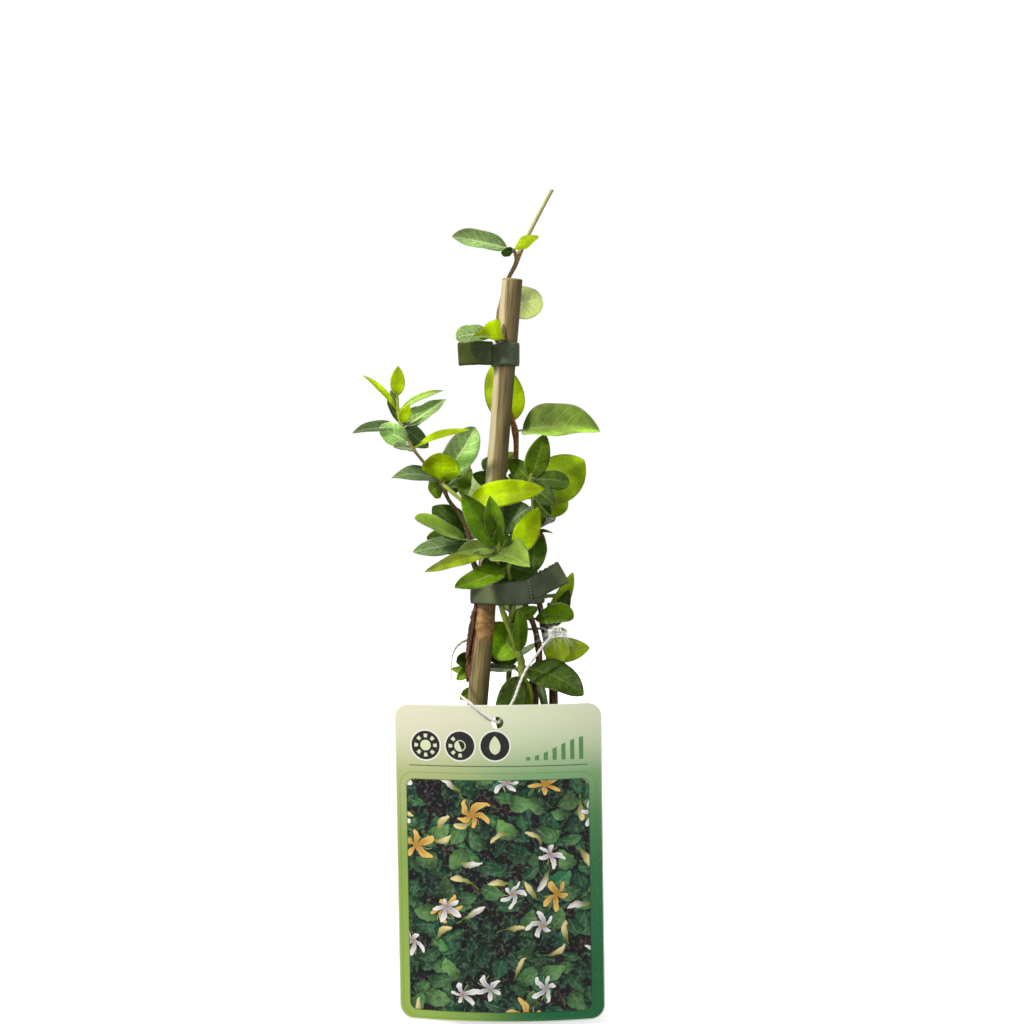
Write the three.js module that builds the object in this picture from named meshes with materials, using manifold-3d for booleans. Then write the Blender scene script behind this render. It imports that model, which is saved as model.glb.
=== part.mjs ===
// A young honeysuckle vine tied to a bamboo cane, growing in a round nursery pot,
// with a large bowed care label that hangs on a string and leans on the pot's rim.
// Millimetres, +Z up. The origin is the centre of the pot's base.
import * as THREE from "three";
import { mergeVertices } from "three/addons/utils/BufferGeometryUtils.js";
import Module from "manifold-3d";

const wasm = await Module();
wasm.setup();

// ---------------------------------------------------------------- driving dimensions

const GAP = 0.3;

const POT = {
  rimRadius: 46,
  bandHeight: 9,
  bandStep: 1.6,
  baseRadius: 33,
  height: 84,
  wall: 1.4,
  floor: 2,
  footInset: 3,
  footHeight: 0.8,
  edge: 0.5,
  drainHoles: 6,
  drainRadius: 3.2,
  drainRing: 22,
  sides: 28,
};

// The soil's surface: share of the pot's inner radius, and height.
const SOIL = { edge: 72, surface: [[1, 72], [0.7, 73.5], [0.35, 75.5], [0, 77]] };

const CANE = {
  foot: [-22, 0, 4],
  head: [6.2, 0, 344.5],
  radius: 4.9,
  sides: 12,
  topBevel: 0.85,
  // height of each growth ring on the cane, and how far it swells
  rings: [{ height: 181, swell: 0.45 }, { height: 62, swell: 0.45 }],
  // height above a ring, and the share of its swelling there
  ringShape: [[-6, 0], [-1, 1], [1, 0.5], [4, 0]],
};

const TAPE = { thickness: 0.8, width: 11, stepsPerPoint: 2, tailSteps: 5 };

const LABEL = {
  width: 95,
  height: 146.5,
  thickness: 0.8,
  cornerRadius: 6.5,
  sag: 7.1,
  holeRadius: 2.75,
  holeBelowTop: 8,
  holeAcross: 0.3,
  centre: [0.1, -46.9, 75],
  yaw: -3.6,
  tilt: 1.1,
  roll: -0.8,
  bowSteps: 12,
  cornerSteps: 5,
  // the bowed blank that the outline is cut from is larger by this much
  spare: 1,
  cutDepth: 40,
};

const STRING = { radius: 0.6, sides: 8, steps: 66 };

// A stem's hole in the soil follows the stem's first span, from a little under it to well past it.
const STEM = { sides: 5, step: 8, hole: GAP + 0.25, holeSides: 8, holeFrom: -0.02, holeTo: 1.3 };

const LEAF = {
  thickness: 0.7,
  stalkThickness: 1.3,
  stalkHalfWidth: 0.6,
  tipHalfWidth: 0.35,
  stalkEnd: 0.1,
  // where the leaf's cross-sections stand, from base to tip
  stations: [0, 0.1, 0.2, 0.38, 0.6, 0.82, 1],
};

// Outline of a blade: half-width follows s^a (1 - s)^b along the blade, scaled to 1 at its widest.
const OVATE = { a: 0.5, b: 0.72 };
const LANCE = { a: 0.7, b: 0.9 };
const ROUND = { a: 0.45, b: 0.5 };
const DELTOID = { a: 0.33, b: 0.95 };

// The way in which the upper side of a leaf looks.
const FRONT = [0, -1, 0.15];
const UP = [0, -0.15, 1];
const UP_FRONT = [0, -0.75, 0.65];
const UP_BACK = [0, 0.35, 1];
const BACK = [0, 1, 0.2];
const DOWN_FRONT = [0, -0.8, -0.5];
const FRONT_LEFT = [-0.6, -0.8, 0.2];
const FRONT_RIGHT = [0.6, -0.8, 0.2];

// ---------------------------------------------------------------- the plant, stem by stem
// A stem is a list of [x, y, z, radius] that its centre line runs through. A shoot leaves its
// stem at a place on it, counted in route points. A leaf is written
//   leaf(shoot, place on the shoot, [tip x, y, z], width, facing, form, { bends })
// where arch lifts the midrib, sweep bows it sideways, fold raises both halves in a V
// and twist turns the blade from base to tip.

const leaf = (shoot, place, tip, width, facing, form, bends = {}) => ({
  shoot,
  place,
  tip,
  width,
  facing,
  form,
  arch: 0,
  sweep: 0,
  fold: 5,
  twist: 0,
  ...bends,
});

const CLIMBING_STEM = {
  routes: {
    main: [
      [15, 6, 20, 2.2],
      [14, 5, 75, 2.2],
      [16, 3, 148.5, 2],
      [19, 2, 163, 1.6],
      [17, 2, 177.5, 1.3],
      [11.5, 2, 192.5, 1.2],
      [9, 4, 210.5, 1.2],
      [8.5, 5, 234.5, 1.2],
      [8, 5, 257.5, 1.2],
      [7.5, 6.5, 272, 1.3],
      [3, 8.5, 287, 1.1],
      [-2, 4.8, 303.5, 1],
      [-1, 4.8, 315.5, 1.1],
      [0, 5.5, 329, 1.1],
      [2, 7.2, 338.5, 1],
      [4.5, 6, 345.5, 1],
      [7.5, 3, 351, 1.1],
      [9.5, 1, 356.5, 1.3],
      [13, 0, 363.5, 0.95],
      [17.5, 0, 372.5, 0.95],
      [21.5, 0, 380, 0.9],
      [25, 0, 386.5, 0.9],
    ],
  },
  shoots: [],
  leaves: [
    // the pair under the cut tip, with a small leaf in its shade
    leaf("main", 16.9, [-22, -5, 364], 11.5, UP_FRONT, LANCE, { arch: 1, sweep: 1.5, fold: 10 }),
    leaf("main", 16.9, [1, -7, 356.5], 5, DOWN_FRONT, LANCE),
    leaf("main", 16.9, [19, 4, 365], 6.5, FRONT, LANCE, { sweep: 1.5, fold: 10 }),
    // beside the cane's head
    leaf("main", 13.2, [20.5, 17, 336], 17, FRONT, ROUND),
    leaf("main", 12.3, [-20, -12, 315.5], 12, UP, OVATE, { arch: 4, fold: 25, twist: 20 }),
    // the wide pair behind and right of the cane
    leaf("main", 9.1, [-2.5, 19, 306], 19, BACK, OVATE, { arch: -2 }),
    leaf("main", 9, [47.5, -6, 272.5], 24, UP_FRONT, OVATE, { arch: 2, fold: 38 }),
    leaf("main", 7.4, [-13, 15, 251.5], 10, FRONT, OVATE),
    // the low right side
    leaf("main", 4.3, [35, -9, 184], 10, FRONT, ROUND, { arch: 1.5, sweep: -1.5, fold: 10, twist: 20 }),
    leaf("main", 3.4, [42.5, -8, 170.5], 12, FRONT, ROUND, { arch: 1, sweep: 1 }),
    leaf("main", 2.5, [22.5, -3, 137.5], 5, FRONT, LANCE, { fold: 10 }),
    leaf("main", 1.6, [34, -16, 124], 12, UP_FRONT, OVATE, { arch: 2 }),
  ],
};

const LEFT_BRANCH = {
  routes: {
    main: [
      [-7, 8, 20, 3.2],
      [-9, 9, 75, 3.2],
      [-11.5, 9, 141.5, 3],
      [-12.5, 8.4, 156.5, 3],
      [-12.5, 8, 169.5, 3],
      [-10, 8.2, 184, 2.8],
      [-9.5, 8.2, 192, 2.5],
      [-9, 7.2, 201, 2.2],
      [-12.5, 2.5, 210, 1.8],
      [-15.5, -3, 220.5, 1.6],
      [-19.5, -6, 231.5, 1.5],
      [-24, -7, 240, 1.5],
      [-27.5, -8, 248, 1.6],
      [-35, -9, 257, 1.1],
      [-40.5, -9, 264, 1.2],
      [-44.5, -9, 271, 1.1],
      [-46.5, -9, 275.5, 1.2],
      [-47.5, -9, 281, 1],
      [-48, -9, 288, 0.8],
    ],
    side: [
      [-22, -11, 243.5, 1.3],
      [-16.5, -12, 239, 1.1],
    ],
  },
  shoots: [{ name: "side", from: "main", place: 12, radius: 1.2 }],
  leaves: [
    // the growing tip
    leaf("main", 17.9, [-47.5, -9, 303], 7.5, FRONT, LANCE, { fold: 15 }),
    leaf("main", 17, [-64, -12, 298.5], 5, FRONT_RIGHT, LANCE, { arch: 1, sweep: 1.2, fold: 10 }),
    leaf("main", 17.2, [-51.5, -4, 292], 4, FRONT_RIGHT, LANCE, { fold: 10 }),
    leaf("main", 17.1, [-26, -6, 291.5], 5, UP_FRONT, LANCE, { arch: 1.5, sweep: -1, fold: 10 }),
    // the first full node
    leaf("main", 16, [-42, -14, 285], 6, FRONT, LANCE, { fold: 10 }),
    leaf("main", 15.5, [-25, -6, 287.5], 9, UP_FRONT, LANCE, { fold: 15 }),
    leaf("main", 16, [-34, 4, 264.5], 9, FRONT, OVATE),
    leaf("main", 15.6, [-34.5, 5, 284.5], 9, FRONT, OVATE),
    leaf("main", 16, [-53, -5, 287], 4.5, FRONT_RIGHT, LANCE, { fold: 10 }),
    leaf("main", 15.7, [-69, -12, 271.5], 8, UP_FRONT, LANCE, { arch: 1.5, fold: 20 }),
    leaf("main", 15.9, [-46, 12, 284], 7, UP_BACK, OVATE),
    // the second node
    leaf("main", 14.3, [-56, -4, 273], 8, FRONT, OVATE, { arch: 1.5 }),
    leaf("main", 14, [-14, -12, 273], 6, UP_FRONT, LANCE, { arch: 1.5, fold: 20 }),
    leaf("main", 14, [-49, -22, 265], 8, UP_FRONT, LANCE, { fold: 10 }),
    leaf("main", 14, [-38, 17, 268], 9, UP_BACK, OVATE),
    // the third node, where the side shoot leaves
    leaf("main", 12.1, [-12, -1, 274], 14.5, FRONT, OVATE, { sweep: 1, fold: 12 }),
    leaf("main", 12, [-26, -28, 261.5], 18, UP_BACK, ROUND, { arch: 2, fold: 10 }),
    leaf("main", 12, [-16.5, -18, 252], 8, UP_BACK, LANCE, { arch: 1, fold: 10 }),
    leaf("main", 12, [-50.5, -18, 250.5], 10, UP_FRONT, LANCE, { arch: 4.5, fold: 10 }),
    leaf("main", 11.9, [-33, -3, 243.5], 10, FRONT, ROUND),
    leaf("main", 11.9, [-17.5, 3, 247], 9, FRONT, OVATE),
    leaf("main", 11.6, [-14, 6, 257], 9, FRONT, OVATE),
    leaf("main", 12, [-22, 24, 256], 13, UP_BACK, OVATE),
    leaf("side", 2, [-13, -7, 254.5], 10, FRONT_LEFT, LANCE, { fold: 25 }),
    leaf("side", 2, [21, -22, 245.5], 13, FRONT, OVATE, { arch: 1.5, sweep: -1, fold: 12 }),
    // the node above the lower tie
    leaf("main", 9.2, [-33, -1, 236.5], 18, FRONT, OVATE),
    leaf("main", 9, [-40.5, -15, 231.5], 12, UP_FRONT, OVATE, { arch: 1.5, sweep: -1, fold: 12 }),
    leaf("main", 9.3, [-41.5, -8, 215], 10, UP_FRONT, LANCE, { arch: 1 }),
    leaf("main", 9, [-20, 29, 226], 14, UP_BACK, OVATE),
    // left of the woody foot
    leaf("main", 3.5, [-20.5, -1, 162], 8, FRONT, ROUND, { fold: 10 }),
    leaf("main", 3.2, [-20.5, 0, 153.5], 6, FRONT, OVATE, { fold: 10 }),
    leaf("main", 3.3, [-23.5, 1, 159], 4.5, FRONT, LANCE, { sweep: -2 }),
    leaf("main", 2.2, [-19, 2, 144], 6, FRONT, OVATE, { fold: 10 }),
    leaf("main", 1.5, [-38, 18, 116], 13, UP_BACK, OVATE, { arch: 3, fold: 10 }),
  ],
};

const FRONT_SHOOT = {
  routes: {
    main: [
      [3, -6, 20, 1.4],
      [5, -5, 75, 1.4],
      [9.5, -4, 143, 1.4],
      [10.5, -3, 159.5, 1.5],
      [9.5, -4, 166, 1.4],
      [5, -6, 178, 1.2],
      [0.5, -8, 190.5, 1.1],
      [-1.5, -9, 202, 1.1],
      [-1, -11, 211.5, 1],
      [-0.5, -12, 217, 1.1],
      [0, -14, 221, 0.8],
    ],
    side: [
      [7, -7, 191, 1.1],
      [5.5, -9, 202, 1.1],
      [4.5, -11, 209, 1],
      [8, -10, 213.5, 0.9],
      [11, -9, 217, 0.8],
    ],
  },
  shoots: [{ name: "side", from: "main", place: 5.2, radius: 1.1 }],
  leaves: [
    // the fan of leaves over the lower tie
    leaf("main", 9, [-17.5, -26, 243.5], 11, FRONT, LANCE, { fold: 10 }),
    leaf("main", 9.3, [-4.5, -25, 243], 8, FRONT, LANCE, { fold: 10 }),
    leaf("main", 9, [0.5, -19, 227], 6, FRONT, LANCE, { fold: 10 }),
    leaf("side", 5, [18.5, -12, 236.5], 11, FRONT, OVATE, { fold: 10 }),
    leaf("main", 8.6, [14.5, -34, 210], 18, UP_FRONT, DELTOID, { arch: 1, fold: 30 }),
    leaf("main", 9, [-20.5, -23, 216], 9, UP_FRONT, LANCE, { arch: 1, fold: 22 }),
    leaf("main", 8.3, [-12, -26, 215.5], 6, UP_FRONT, LANCE, { fold: 10 }),
    leaf("main", 8.8, [-35, -11, 206], 8, UP_FRONT, LANCE, { arch: 1.5, fold: 10 }),
    leaf("side", 3, [-20.5, -30, 200], 12, UP_FRONT, OVATE, { sweep: -1, fold: 10 }),
    leaf("side", 3, [16.5, -15, 205.5], 10, FRONT, OVATE),
    leaf("main", 8, [-8.5, -15, 208], 8, FRONT, OVATE, { fold: 10 }),
    // the low node between the stems
    leaf("main", 3.9, [-4, -12, 181.5], 18, FRONT_LEFT, OVATE),
    leaf("main", 4, [10, -14, 190], 7.5, FRONT_RIGHT, LANCE, { fold: 12 }),
    leaf("main", 5.3, [18.5, -2, 188.5], 7, FRONT, OVATE, { fold: 10 }),
    leaf("main", 3, [39.5, -18, 147.5], 16, UP_FRONT, OVATE, { arch: 1, sweep: -2.5 }),
    leaf("main", 2.9, [1.5, -12, 138], 13, FRONT, OVATE),
    leaf("main", 3, [-11, 12.5, 158], 6.5, UP_FRONT, OVATE, { fold: 10 }),
    leaf("main", 3.5, [-7.5, 8, 165], 8, FRONT, OVATE, { fold: 10 }),
    leaf("main", 2.8, [14, -8, 137.5], 8, FRONT, OVATE, { fold: 10 }),
    leaf("main", 3.2, [16, 28, 150], 10, UP_BACK, OVATE),
  ],
};

const RIGHT_SHOOT = {
  routes: {
    main: [
      [24, 8, 20, 2.4],
      [25, 8, 75, 2.4],
      [26, 8, 141.5, 2.2],
      [25, 8, 157.5, 2],
      [22.5, 8, 172, 1.6],
      [20, 8, 185.5, 1.4],
      [18, 7.5, 196, 1.3],
      [16.5, 6, 210.5, 1.2],
      [17.5, 4, 225, 1.1],
      [16.5, 1, 237, 1.1],
      [15, -3, 249, 1.2],
      [15.5, -4, 252.5, 0.8],
    ],
    twig: [
      [23, 5, 182.5, 1.1],
      [24, 5, 190, 0.9],
    ],
  },
  shoots: [{ name: "twig", from: "main", place: 4.4, radius: 1.2 }],
  leaves: [
    // the dark rosette at the top
    leaf("main", 10, [21.5, -8, 271], 12, FRONT, OVATE, { fold: 15 }),
    leaf("main", 10, [3.5, 4.5, 259], 9, FRONT, OVATE),
    leaf("main", 9.9, [4, 3.2, 251.5], 6, FRONT, LANCE, { fold: 10 }),
    leaf("main", 10, [33.5, -16, 247], 8.5, UP_FRONT, OVATE, { arch: 1, sweep: -1, fold: 10 }),
    leaf("main", 9.8, [26.5, -14, 237.5], 9, FRONT, OVATE, { fold: 10 }),
    leaf("main", 9.3, [24.5, -7, 231.5], 8, FRONT, LANCE, { fold: 15 }),
    leaf("main", 9.3, [41, 10, 258], 22, FRONT, OVATE, { fold: 8 }),
    leaf("main", 8.9, [35, 11, 242], 14, FRONT, OVATE),
    leaf("main", 10, [18, 30, 262], 12, UP_BACK, OVATE),
    // the middle of the shoot
    leaf("main", 8.8, [3, -2, 225], 12, FRONT, OVATE),
    leaf("main", 8, [20, 10, 236], 7, FRONT, LANCE),
    leaf("main", 8, [14.5, -5, 203.5], 8, FRONT, LANCE, { fold: 10 }),
    leaf("main", 8, [26, 34, 232], 11, UP_BACK, OVATE),
    leaf("main", 7.4, [25.5, 4, 223.5], 8, FRONT_RIGHT, LANCE, { arch: 2, sweep: -2.5, fold: 25 }),
    leaf("main", 4.5, [35.5, 13, 204], 8, FRONT, OVATE, { sweep: 1.5 }),
    leaf("main", 4.3, [33.5, 9, 196], 8, FRONT, OVATE, { sweep: 1.5 }),
    leaf("main", 1.5, [42, 30, 120], 13, UP_BACK, OVATE, { arch: 3, fold: 10 }),
  ],
};

const BACK_SHOOT = {
  routes: {
    main: [
      [2, 15, 20, 1.4],
      [3, 15, 75, 1.4],
      [4, 13.5, 140, 1.3],
      [6, 11.8, 192, 1.2],
      [4, 14, 215, 1.1],
      [0, 17, 236, 1.1],
      [-4, 18, 250, 0.9],
    ],
  },
  shoots: [],
  leaves: [
    leaf("main", 2.35, [26, 40, 168], 13, UP_BACK, OVATE, { arch: 2 }),
    leaf("main", 2.35, [-12, 38, 160], 12, UP_BACK, OVATE, { arch: 2 }),
    leaf("main", 2.8, [30, 36, 190], 14, UP_BACK, OVATE, { arch: 3, fold: 10 }),
    leaf("main", 2.8, [-6, 48, 186], 13, UP_BACK, OVATE, { arch: 3, fold: 10 }),
    leaf("main", 4, [-24, 42, 220], 15, UP_BACK, OVATE, { arch: 3, fold: 10 }),
    leaf("main", 4, [14, 52, 214], 14, UP_BACK, OVATE, { arch: 4, fold: 15 }),
    leaf("main", 5, [-22, 45, 248], 14, BACK, OVATE, { arch: 2, fold: 10 }),
    leaf("main", 5, [22, 46, 238], 13, UP_BACK, OVATE, { arch: 2, fold: 15 }),
    leaf("main", 6, [-5, 36, 260], 10, UP_BACK, OVATE, { fold: 15 }),
    leaf("main", 6, [7, 34, 262], 10, BACK, OVATE, { fold: 15 }),
    leaf("main", 1.6, [-14, 42, 120], 14, UP_BACK, OVATE, { arch: 3, fold: 10 }),
    leaf("main", 1.6, [20, 44, 108], 12, UP_BACK, OVATE, { arch: 3, fold: 10 }),
  ],
};

const STEMS = {
  vine_climbing_stem: CLIMBING_STEM,
  vine_left_branch: LEFT_BRANCH,
  vine_front_shoot: FRONT_SHOOT,
  vine_right_shoot: RIGHT_SHOOT,
  vine_back_shoot: BACK_SHOOT,
};

// The upper tie holds the climbing stem to the cane, and its end stands out to the left.
const UPPER_TIE = {
  bottom: 303.2,
  band: [
    [9.3, 0],
    [7.6, 4.3],
    [3.3, 6.6],
    [-0.8, 7],
    [-3.2, 6.4],
    [-4.1, 4.4],
    [-3.3, 0],
    [-1.1, -4.1],
    [3.3, -6],
    [7.6, -4.3],
  ],
  tail: [
    [-3.2, -0.8, 309.2],
    [-7, -1.6, 309.2],
    [-12, -2.4, 309.2],
    [-19, -2.6, 308.8],
  ],
  tailThickness: 1.2,
};

// The lower tie gathers the cane and all the stems, and its end points up to the right.
const LOWER_TIE = {
  bottom: 190.4,
  band: [
    [-13.6, 4],
    [-12.4, -4.6],
    [-4, -10.8],
    [4, -12.2],
    [14, -9.6],
    [21.6, -2],
    [22.8, 6],
    [17, 12.4],
    [6, 14.9],
    [-6, 14],
    [-12.4, 11.2],
  ],
  tail: [
    [14.5, -9.2, 198],
    [20, -8.2, 200.4],
    [25, -7.2, 202.8],
    [30, -7, 205.6],
  ],
  tailThickness: 0.9,
};

// From the knot down to the label's hole, up over its top edge and round behind the stems.
const STRING_ROUTE = [
  [25, -12.3, 176.1],
  [23, -12.5, 174],
  [19.2, -12.6, 169.3],
  [13.1, -14, 161],
  [9.7, -20, 154.6],
  [6.9, -31, 148.6],
  [3.3, -41, 144],
  [0.6, -46.2, 140.9],
  [-0.4, -48.5, 140.3],
  [-2.4, -49.8, 141.3],
  [-8.5, -49.3, 145.4],
  [-11.4, -49, 147.8],
  [-13.4, -47.9, 149.4],
  [-16.8, -44.8, 151.4],
  [-20.1, -38.5, 154],
  [-22.2, -29.5, 156.6],
  [-22.8, -19, 158.8],
  [-23, -8, 162],
  [-22.5, 2, 166],
  [-19.5, 11, 169.6],
  [-13, 16.5, 172],
  [-3, 19, 174],
  [9, 19.5, 175.4],
  [21.5, 17, 176.6],
  [28.5, 10, 177.2],
  [31.3, 0, 177.4],
  [31.2, -6.5, 177.4],
  [29.6, -10.6, 177.7],
];

const KNOT = {
  centre: [27, -12, 178],
  size: [2.3, 2, 2],
  wispLength: 7,
  wispRadius: 0.9,
  wisps: [
    [-0.55, -0.35, 0.75],
    [0.75, -0.4, 0.5],
  ],
};

const FINISHES = {
  pot: { color: 0x2b2d2c, roughness: 0.55 },
  soil: { color: 0x33241a, roughness: 0.95 },
  bamboo: { color: 0x8d7a55, roughness: 0.6 },
  foliage: { color: 0x5f8f1e, roughness: 0.5 },
  tape: { color: 0x434a40, roughness: 0.45 },
  label: { color: 0xb9cf9a, roughness: 0.35 },
  string: { color: 0xf2f2ee, roughness: 0.8 },
};

// ---------------------------------------------------------------- solids

const vector = ([x, y, z]) => new THREE.Vector3(x, y, z);
const curveThrough = (points) =>
  new THREE.CatmullRomCurve3(points.map(vector), false, "catmullrom", 0.5);

// A three.js geometry as a manifold-3d solid, and back.
function solidOf(geometry) {
  const bare = geometry.clone();
  bare.deleteAttribute("normal");
  bare.deleteAttribute("uv");
  const merged = mergeVertices(bare, 1e-4);
  const vertProperties = new Float32Array(merged.attributes.position.array);
  const triVerts = new Uint32Array(merged.index.array);
  return new wasm.Manifold(new wasm.Mesh({ numProp: 3, vertProperties, triVerts }));
}

function geometryOf(solid) {
  const mesh = solid.getMesh();
  const geometry = new THREE.BufferGeometry();
  geometry.setAttribute("position", new THREE.BufferAttribute(mesh.vertProperties, 3));
  geometry.setIndex(new THREE.BufferAttribute(mesh.triVerts, 1));
  return geometry;
}

const joined = (geometries) =>
  geometryOf(geometries.map(solidOf).reduce((whole, piece) => whole.add(piece)));

const cut = (geometry, tools) =>
  geometryOf(tools.map(solidOf).reduce((whole, tool) => whole.subtract(tool), solidOf(geometry)));

// Skins a row of closed rings and caps both ends. Each ring turns clockwise, seen from the first
// ring towards the last. The quads of a ring's second half take the other diagonal, so that the two
// faces of a blade are split alike.
function loft(rings) {
  const count = rings[0].length;
  const positions = rings.flat().flatMap((point) => point.toArray());
  const index = [];
  for (let i = 0; i + 1 < rings.length; i++)
    for (let k = 0; k < count; k++) {
      const a = i * count + k;
      const b = i * count + ((k + 1) % count);
      const c = a + count;
      const d = b + count;
      if (k < count / 2 - 1 || k === count - 1) index.push(a, b, d, a, d, c);
      else index.push(a, b, c, b, d, c);
    }
  const last = (rings.length - 1) * count;
  for (let k = 1; k + 1 < count; k++) {
    index.push(0, k + 1, k);
    index.push(last, last + k, last + k + 1);
  }
  const geometry = new THREE.BufferGeometry();
  geometry.setAttribute("position", new THREE.Float32BufferAttribute(positions, 3));
  geometry.setIndex(index);
  return geometry;
}

// A round, tapering tube; each route point is [x, y, z, radius].
function taperedTube(route, sides, steps) {
  const curve = curveThrough(route);
  const frames = curve.computeFrenetFrames(steps, false);
  const rings = [];
  for (let i = 0; i <= steps; i++) {
    const place = curve.getUtoTmapping(i / steps) * (route.length - 1);
    const before = Math.min(Math.floor(place), route.length - 2);
    const radius = THREE.MathUtils.lerp(route[before][3], route[before + 1][3], place - before);
    const centre = curve.getPointAt(i / steps);
    const ring = [];
    for (let k = 0; k < sides; k++) {
      const angle = (2 * Math.PI * k) / sides;
      const outward = frames.normals[i]
        .clone()
        .multiplyScalar(Math.cos(angle) * radius)
        .addScaledVector(frames.binormals[i], Math.sin(angle) * radius);
      ring.push(outward.add(centre));
    }
    rings.push(ring);
  }
  return loft(rings);
}

function bladeHalfWidth({ a, b }, s) {
  const widest = a / (a + b);
  return (s ** a * (1 - s) ** b) / (widest ** a * (1 - widest) ** b);
}

// A leaf from its root on the stem to its tip: a thick stalk that widens into a thin blade.
function leafBlade(root, { tip, width, facing, form, arch, sweep, fold, twist }) {
  const span = vector(tip).sub(root);
  const length = span.length();
  const along = span.clone().normalize();
  const up = vector(facing);
  up.addScaledVector(along, -up.dot(along)).normalize();
  const across = new THREE.Vector3().crossVectors(along, up);
  const raise = THREE.MathUtils.degToRad(fold);
  const rings = LEAF.stations.map((u) => {
    const bow = 4 * u * (1 - u);
    const middle = root
      .clone()
      .addScaledVector(span, u)
      .addScaledVector(up, arch * bow)
      .addScaledVector(across, sweep * bow);
    const slope = 4 * arch * (1 - 2 * u);
    const lift = up.clone().multiplyScalar(length).addScaledVector(along, -slope).normalize();
    const turn = THREE.MathUtils.degToRad(twist) * (u - 0.5);
    const side = across.clone().multiplyScalar(Math.cos(turn)).addScaledVector(lift, Math.sin(turn));
    const normal = lift.multiplyScalar(Math.cos(turn)).addScaledVector(across, -Math.sin(turn));
    const onStalk = u <= LEAF.stalkEnd;
    const s = (u - LEAF.stalkEnd) / (1 - LEAF.stalkEnd);
    const blade = onStalk ? 0 : (width / 2) * bladeHalfWidth(form, s);
    const half = Math.max(blade, onStalk ? LEAF.stalkHalfWidth : LEAF.tipHalfWidth);
    const thick = (onStalk ? LEAF.stalkThickness : LEAF.thickness) / 2;
    const at = (v, face) =>
      middle
        .clone()
        .addScaledVector(side, half * v * Math.cos(raise))
        .addScaledVector(normal, half * Math.abs(v) * Math.sin(raise) + face * thick);
    return [at(-1, 1), at(0, 1), at(1, 1), at(1, -1), at(0, -1), at(-1, -1)];
  });
  return loft(rings);
}

// A stem with its shoots and leaves, as one body.
function leafyStem({ routes, shoots, leaves }) {
  const paths = { ...routes };
  shoots.forEach(({ name, from, place, radius }) => {
    const root = curveThrough(routes[from]).getPoint(place / (routes[from].length - 1));
    paths[name] = [[...root.toArray(), radius], ...routes[name]];
  });
  const tubes = Object.values(paths).map((path) => {
    const steps = Math.ceil(curveThrough(path).getLength() / STEM.step);
    return taperedTube(path, STEM.sides, steps);
  });
  const blades = leaves.map((one) => {
    const path = paths[one.shoot];
    return leafBlade(curveThrough(path).getPoint(one.place / (path.length - 1)), one);
  });
  return joined([...tubes, ...blades]);
}

// ---------------------------------------------------------------- pot, soil and cane

const bodyTop = POT.height - POT.bandHeight;
const bodyTopRadius = POT.rimRadius - POT.bandStep;
const wallSlope = (bodyTopRadius - POT.baseRadius) / bodyTop;
const innerRadiusAt = (z) => POT.baseRadius + wallSlope * z - POT.wall;

function pot() {
  const profile = [
    [0, 0],
    [POT.baseRadius - POT.footInset, 0],
    [POT.baseRadius, POT.footHeight],
    [bodyTopRadius, bodyTop],
    [POT.rimRadius, bodyTop + POT.edge],
    [POT.rimRadius, POT.height - POT.edge],
    [POT.rimRadius - POT.edge, POT.height],
    [POT.rimRadius - POT.wall, POT.height],
    [innerRadiusAt(bodyTop), bodyTop],
    [innerRadiusAt(POT.floor), POT.floor],
    [0, POT.floor],
  ].map(([r, z]) => new THREE.Vector2(r, z));
  const shell = new THREE.LatheGeometry(profile, POT.sides).rotateX(Math.PI / 2);
  const holes = Array.from({ length: POT.drainHoles }, (_, i) => {
    const angle = (2 * Math.PI * (i + 0.5)) / POT.drainHoles;
    return new THREE.CylinderGeometry(POT.drainRadius, POT.drainRadius, 3 * POT.floor, 12)
      .rotateX(Math.PI / 2)
      .translate(POT.drainRing * Math.cos(angle), POT.drainRing * Math.sin(angle), 0);
  });
  return cut(shell, holes);
}

// The cane's straight run as [x, y, z, radius], swelling at each growth ring.
function caneProfile() {
  const [foot, head] = [vector(CANE.foot), vector(CANE.head)];
  const at = (z, radius) => [...foot.clone().lerp(head, (z - foot.z) / (head.z - foot.z)), radius];
  const swellings = CANE.rings.flatMap(({ height, swell }) =>
    CANE.ringShape.map(([above, share]) => at(height + above, CANE.radius + share * swell)),
  );
  const ends = [
    at(foot.z, CANE.radius),
    at(head.z - CANE.topBevel, CANE.radius),
    at(head.z, CANE.radius - CANE.topBevel),
  ];
  return [...ends, ...swellings].sort((low, high) => low[2] - high[2]);
}

// The cane, or with some room round it and under its foot, the hole that it stands in.
function cane(room = 0) {
  const along = vector(CANE.head).sub(vector(CANE.foot)).normalize();
  const across = new THREE.Vector3(0, 1, 0);
  const aside = new THREE.Vector3().crossVectors(along, across);
  const rings = caneProfile().map((point, i) =>
    Array.from({ length: CANE.sides }, (_, k) => {
      const angle = (2 * Math.PI * k) / CANE.sides;
      return vector(point)
        .addScaledVector(along, i ? 0 : -room)
        .addScaledVector(across, (point[3] + room) * Math.cos(angle))
        .addScaledVector(aside, (point[3] + room) * Math.sin(angle));
    }),
  );
  return loft(rings);
}

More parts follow.
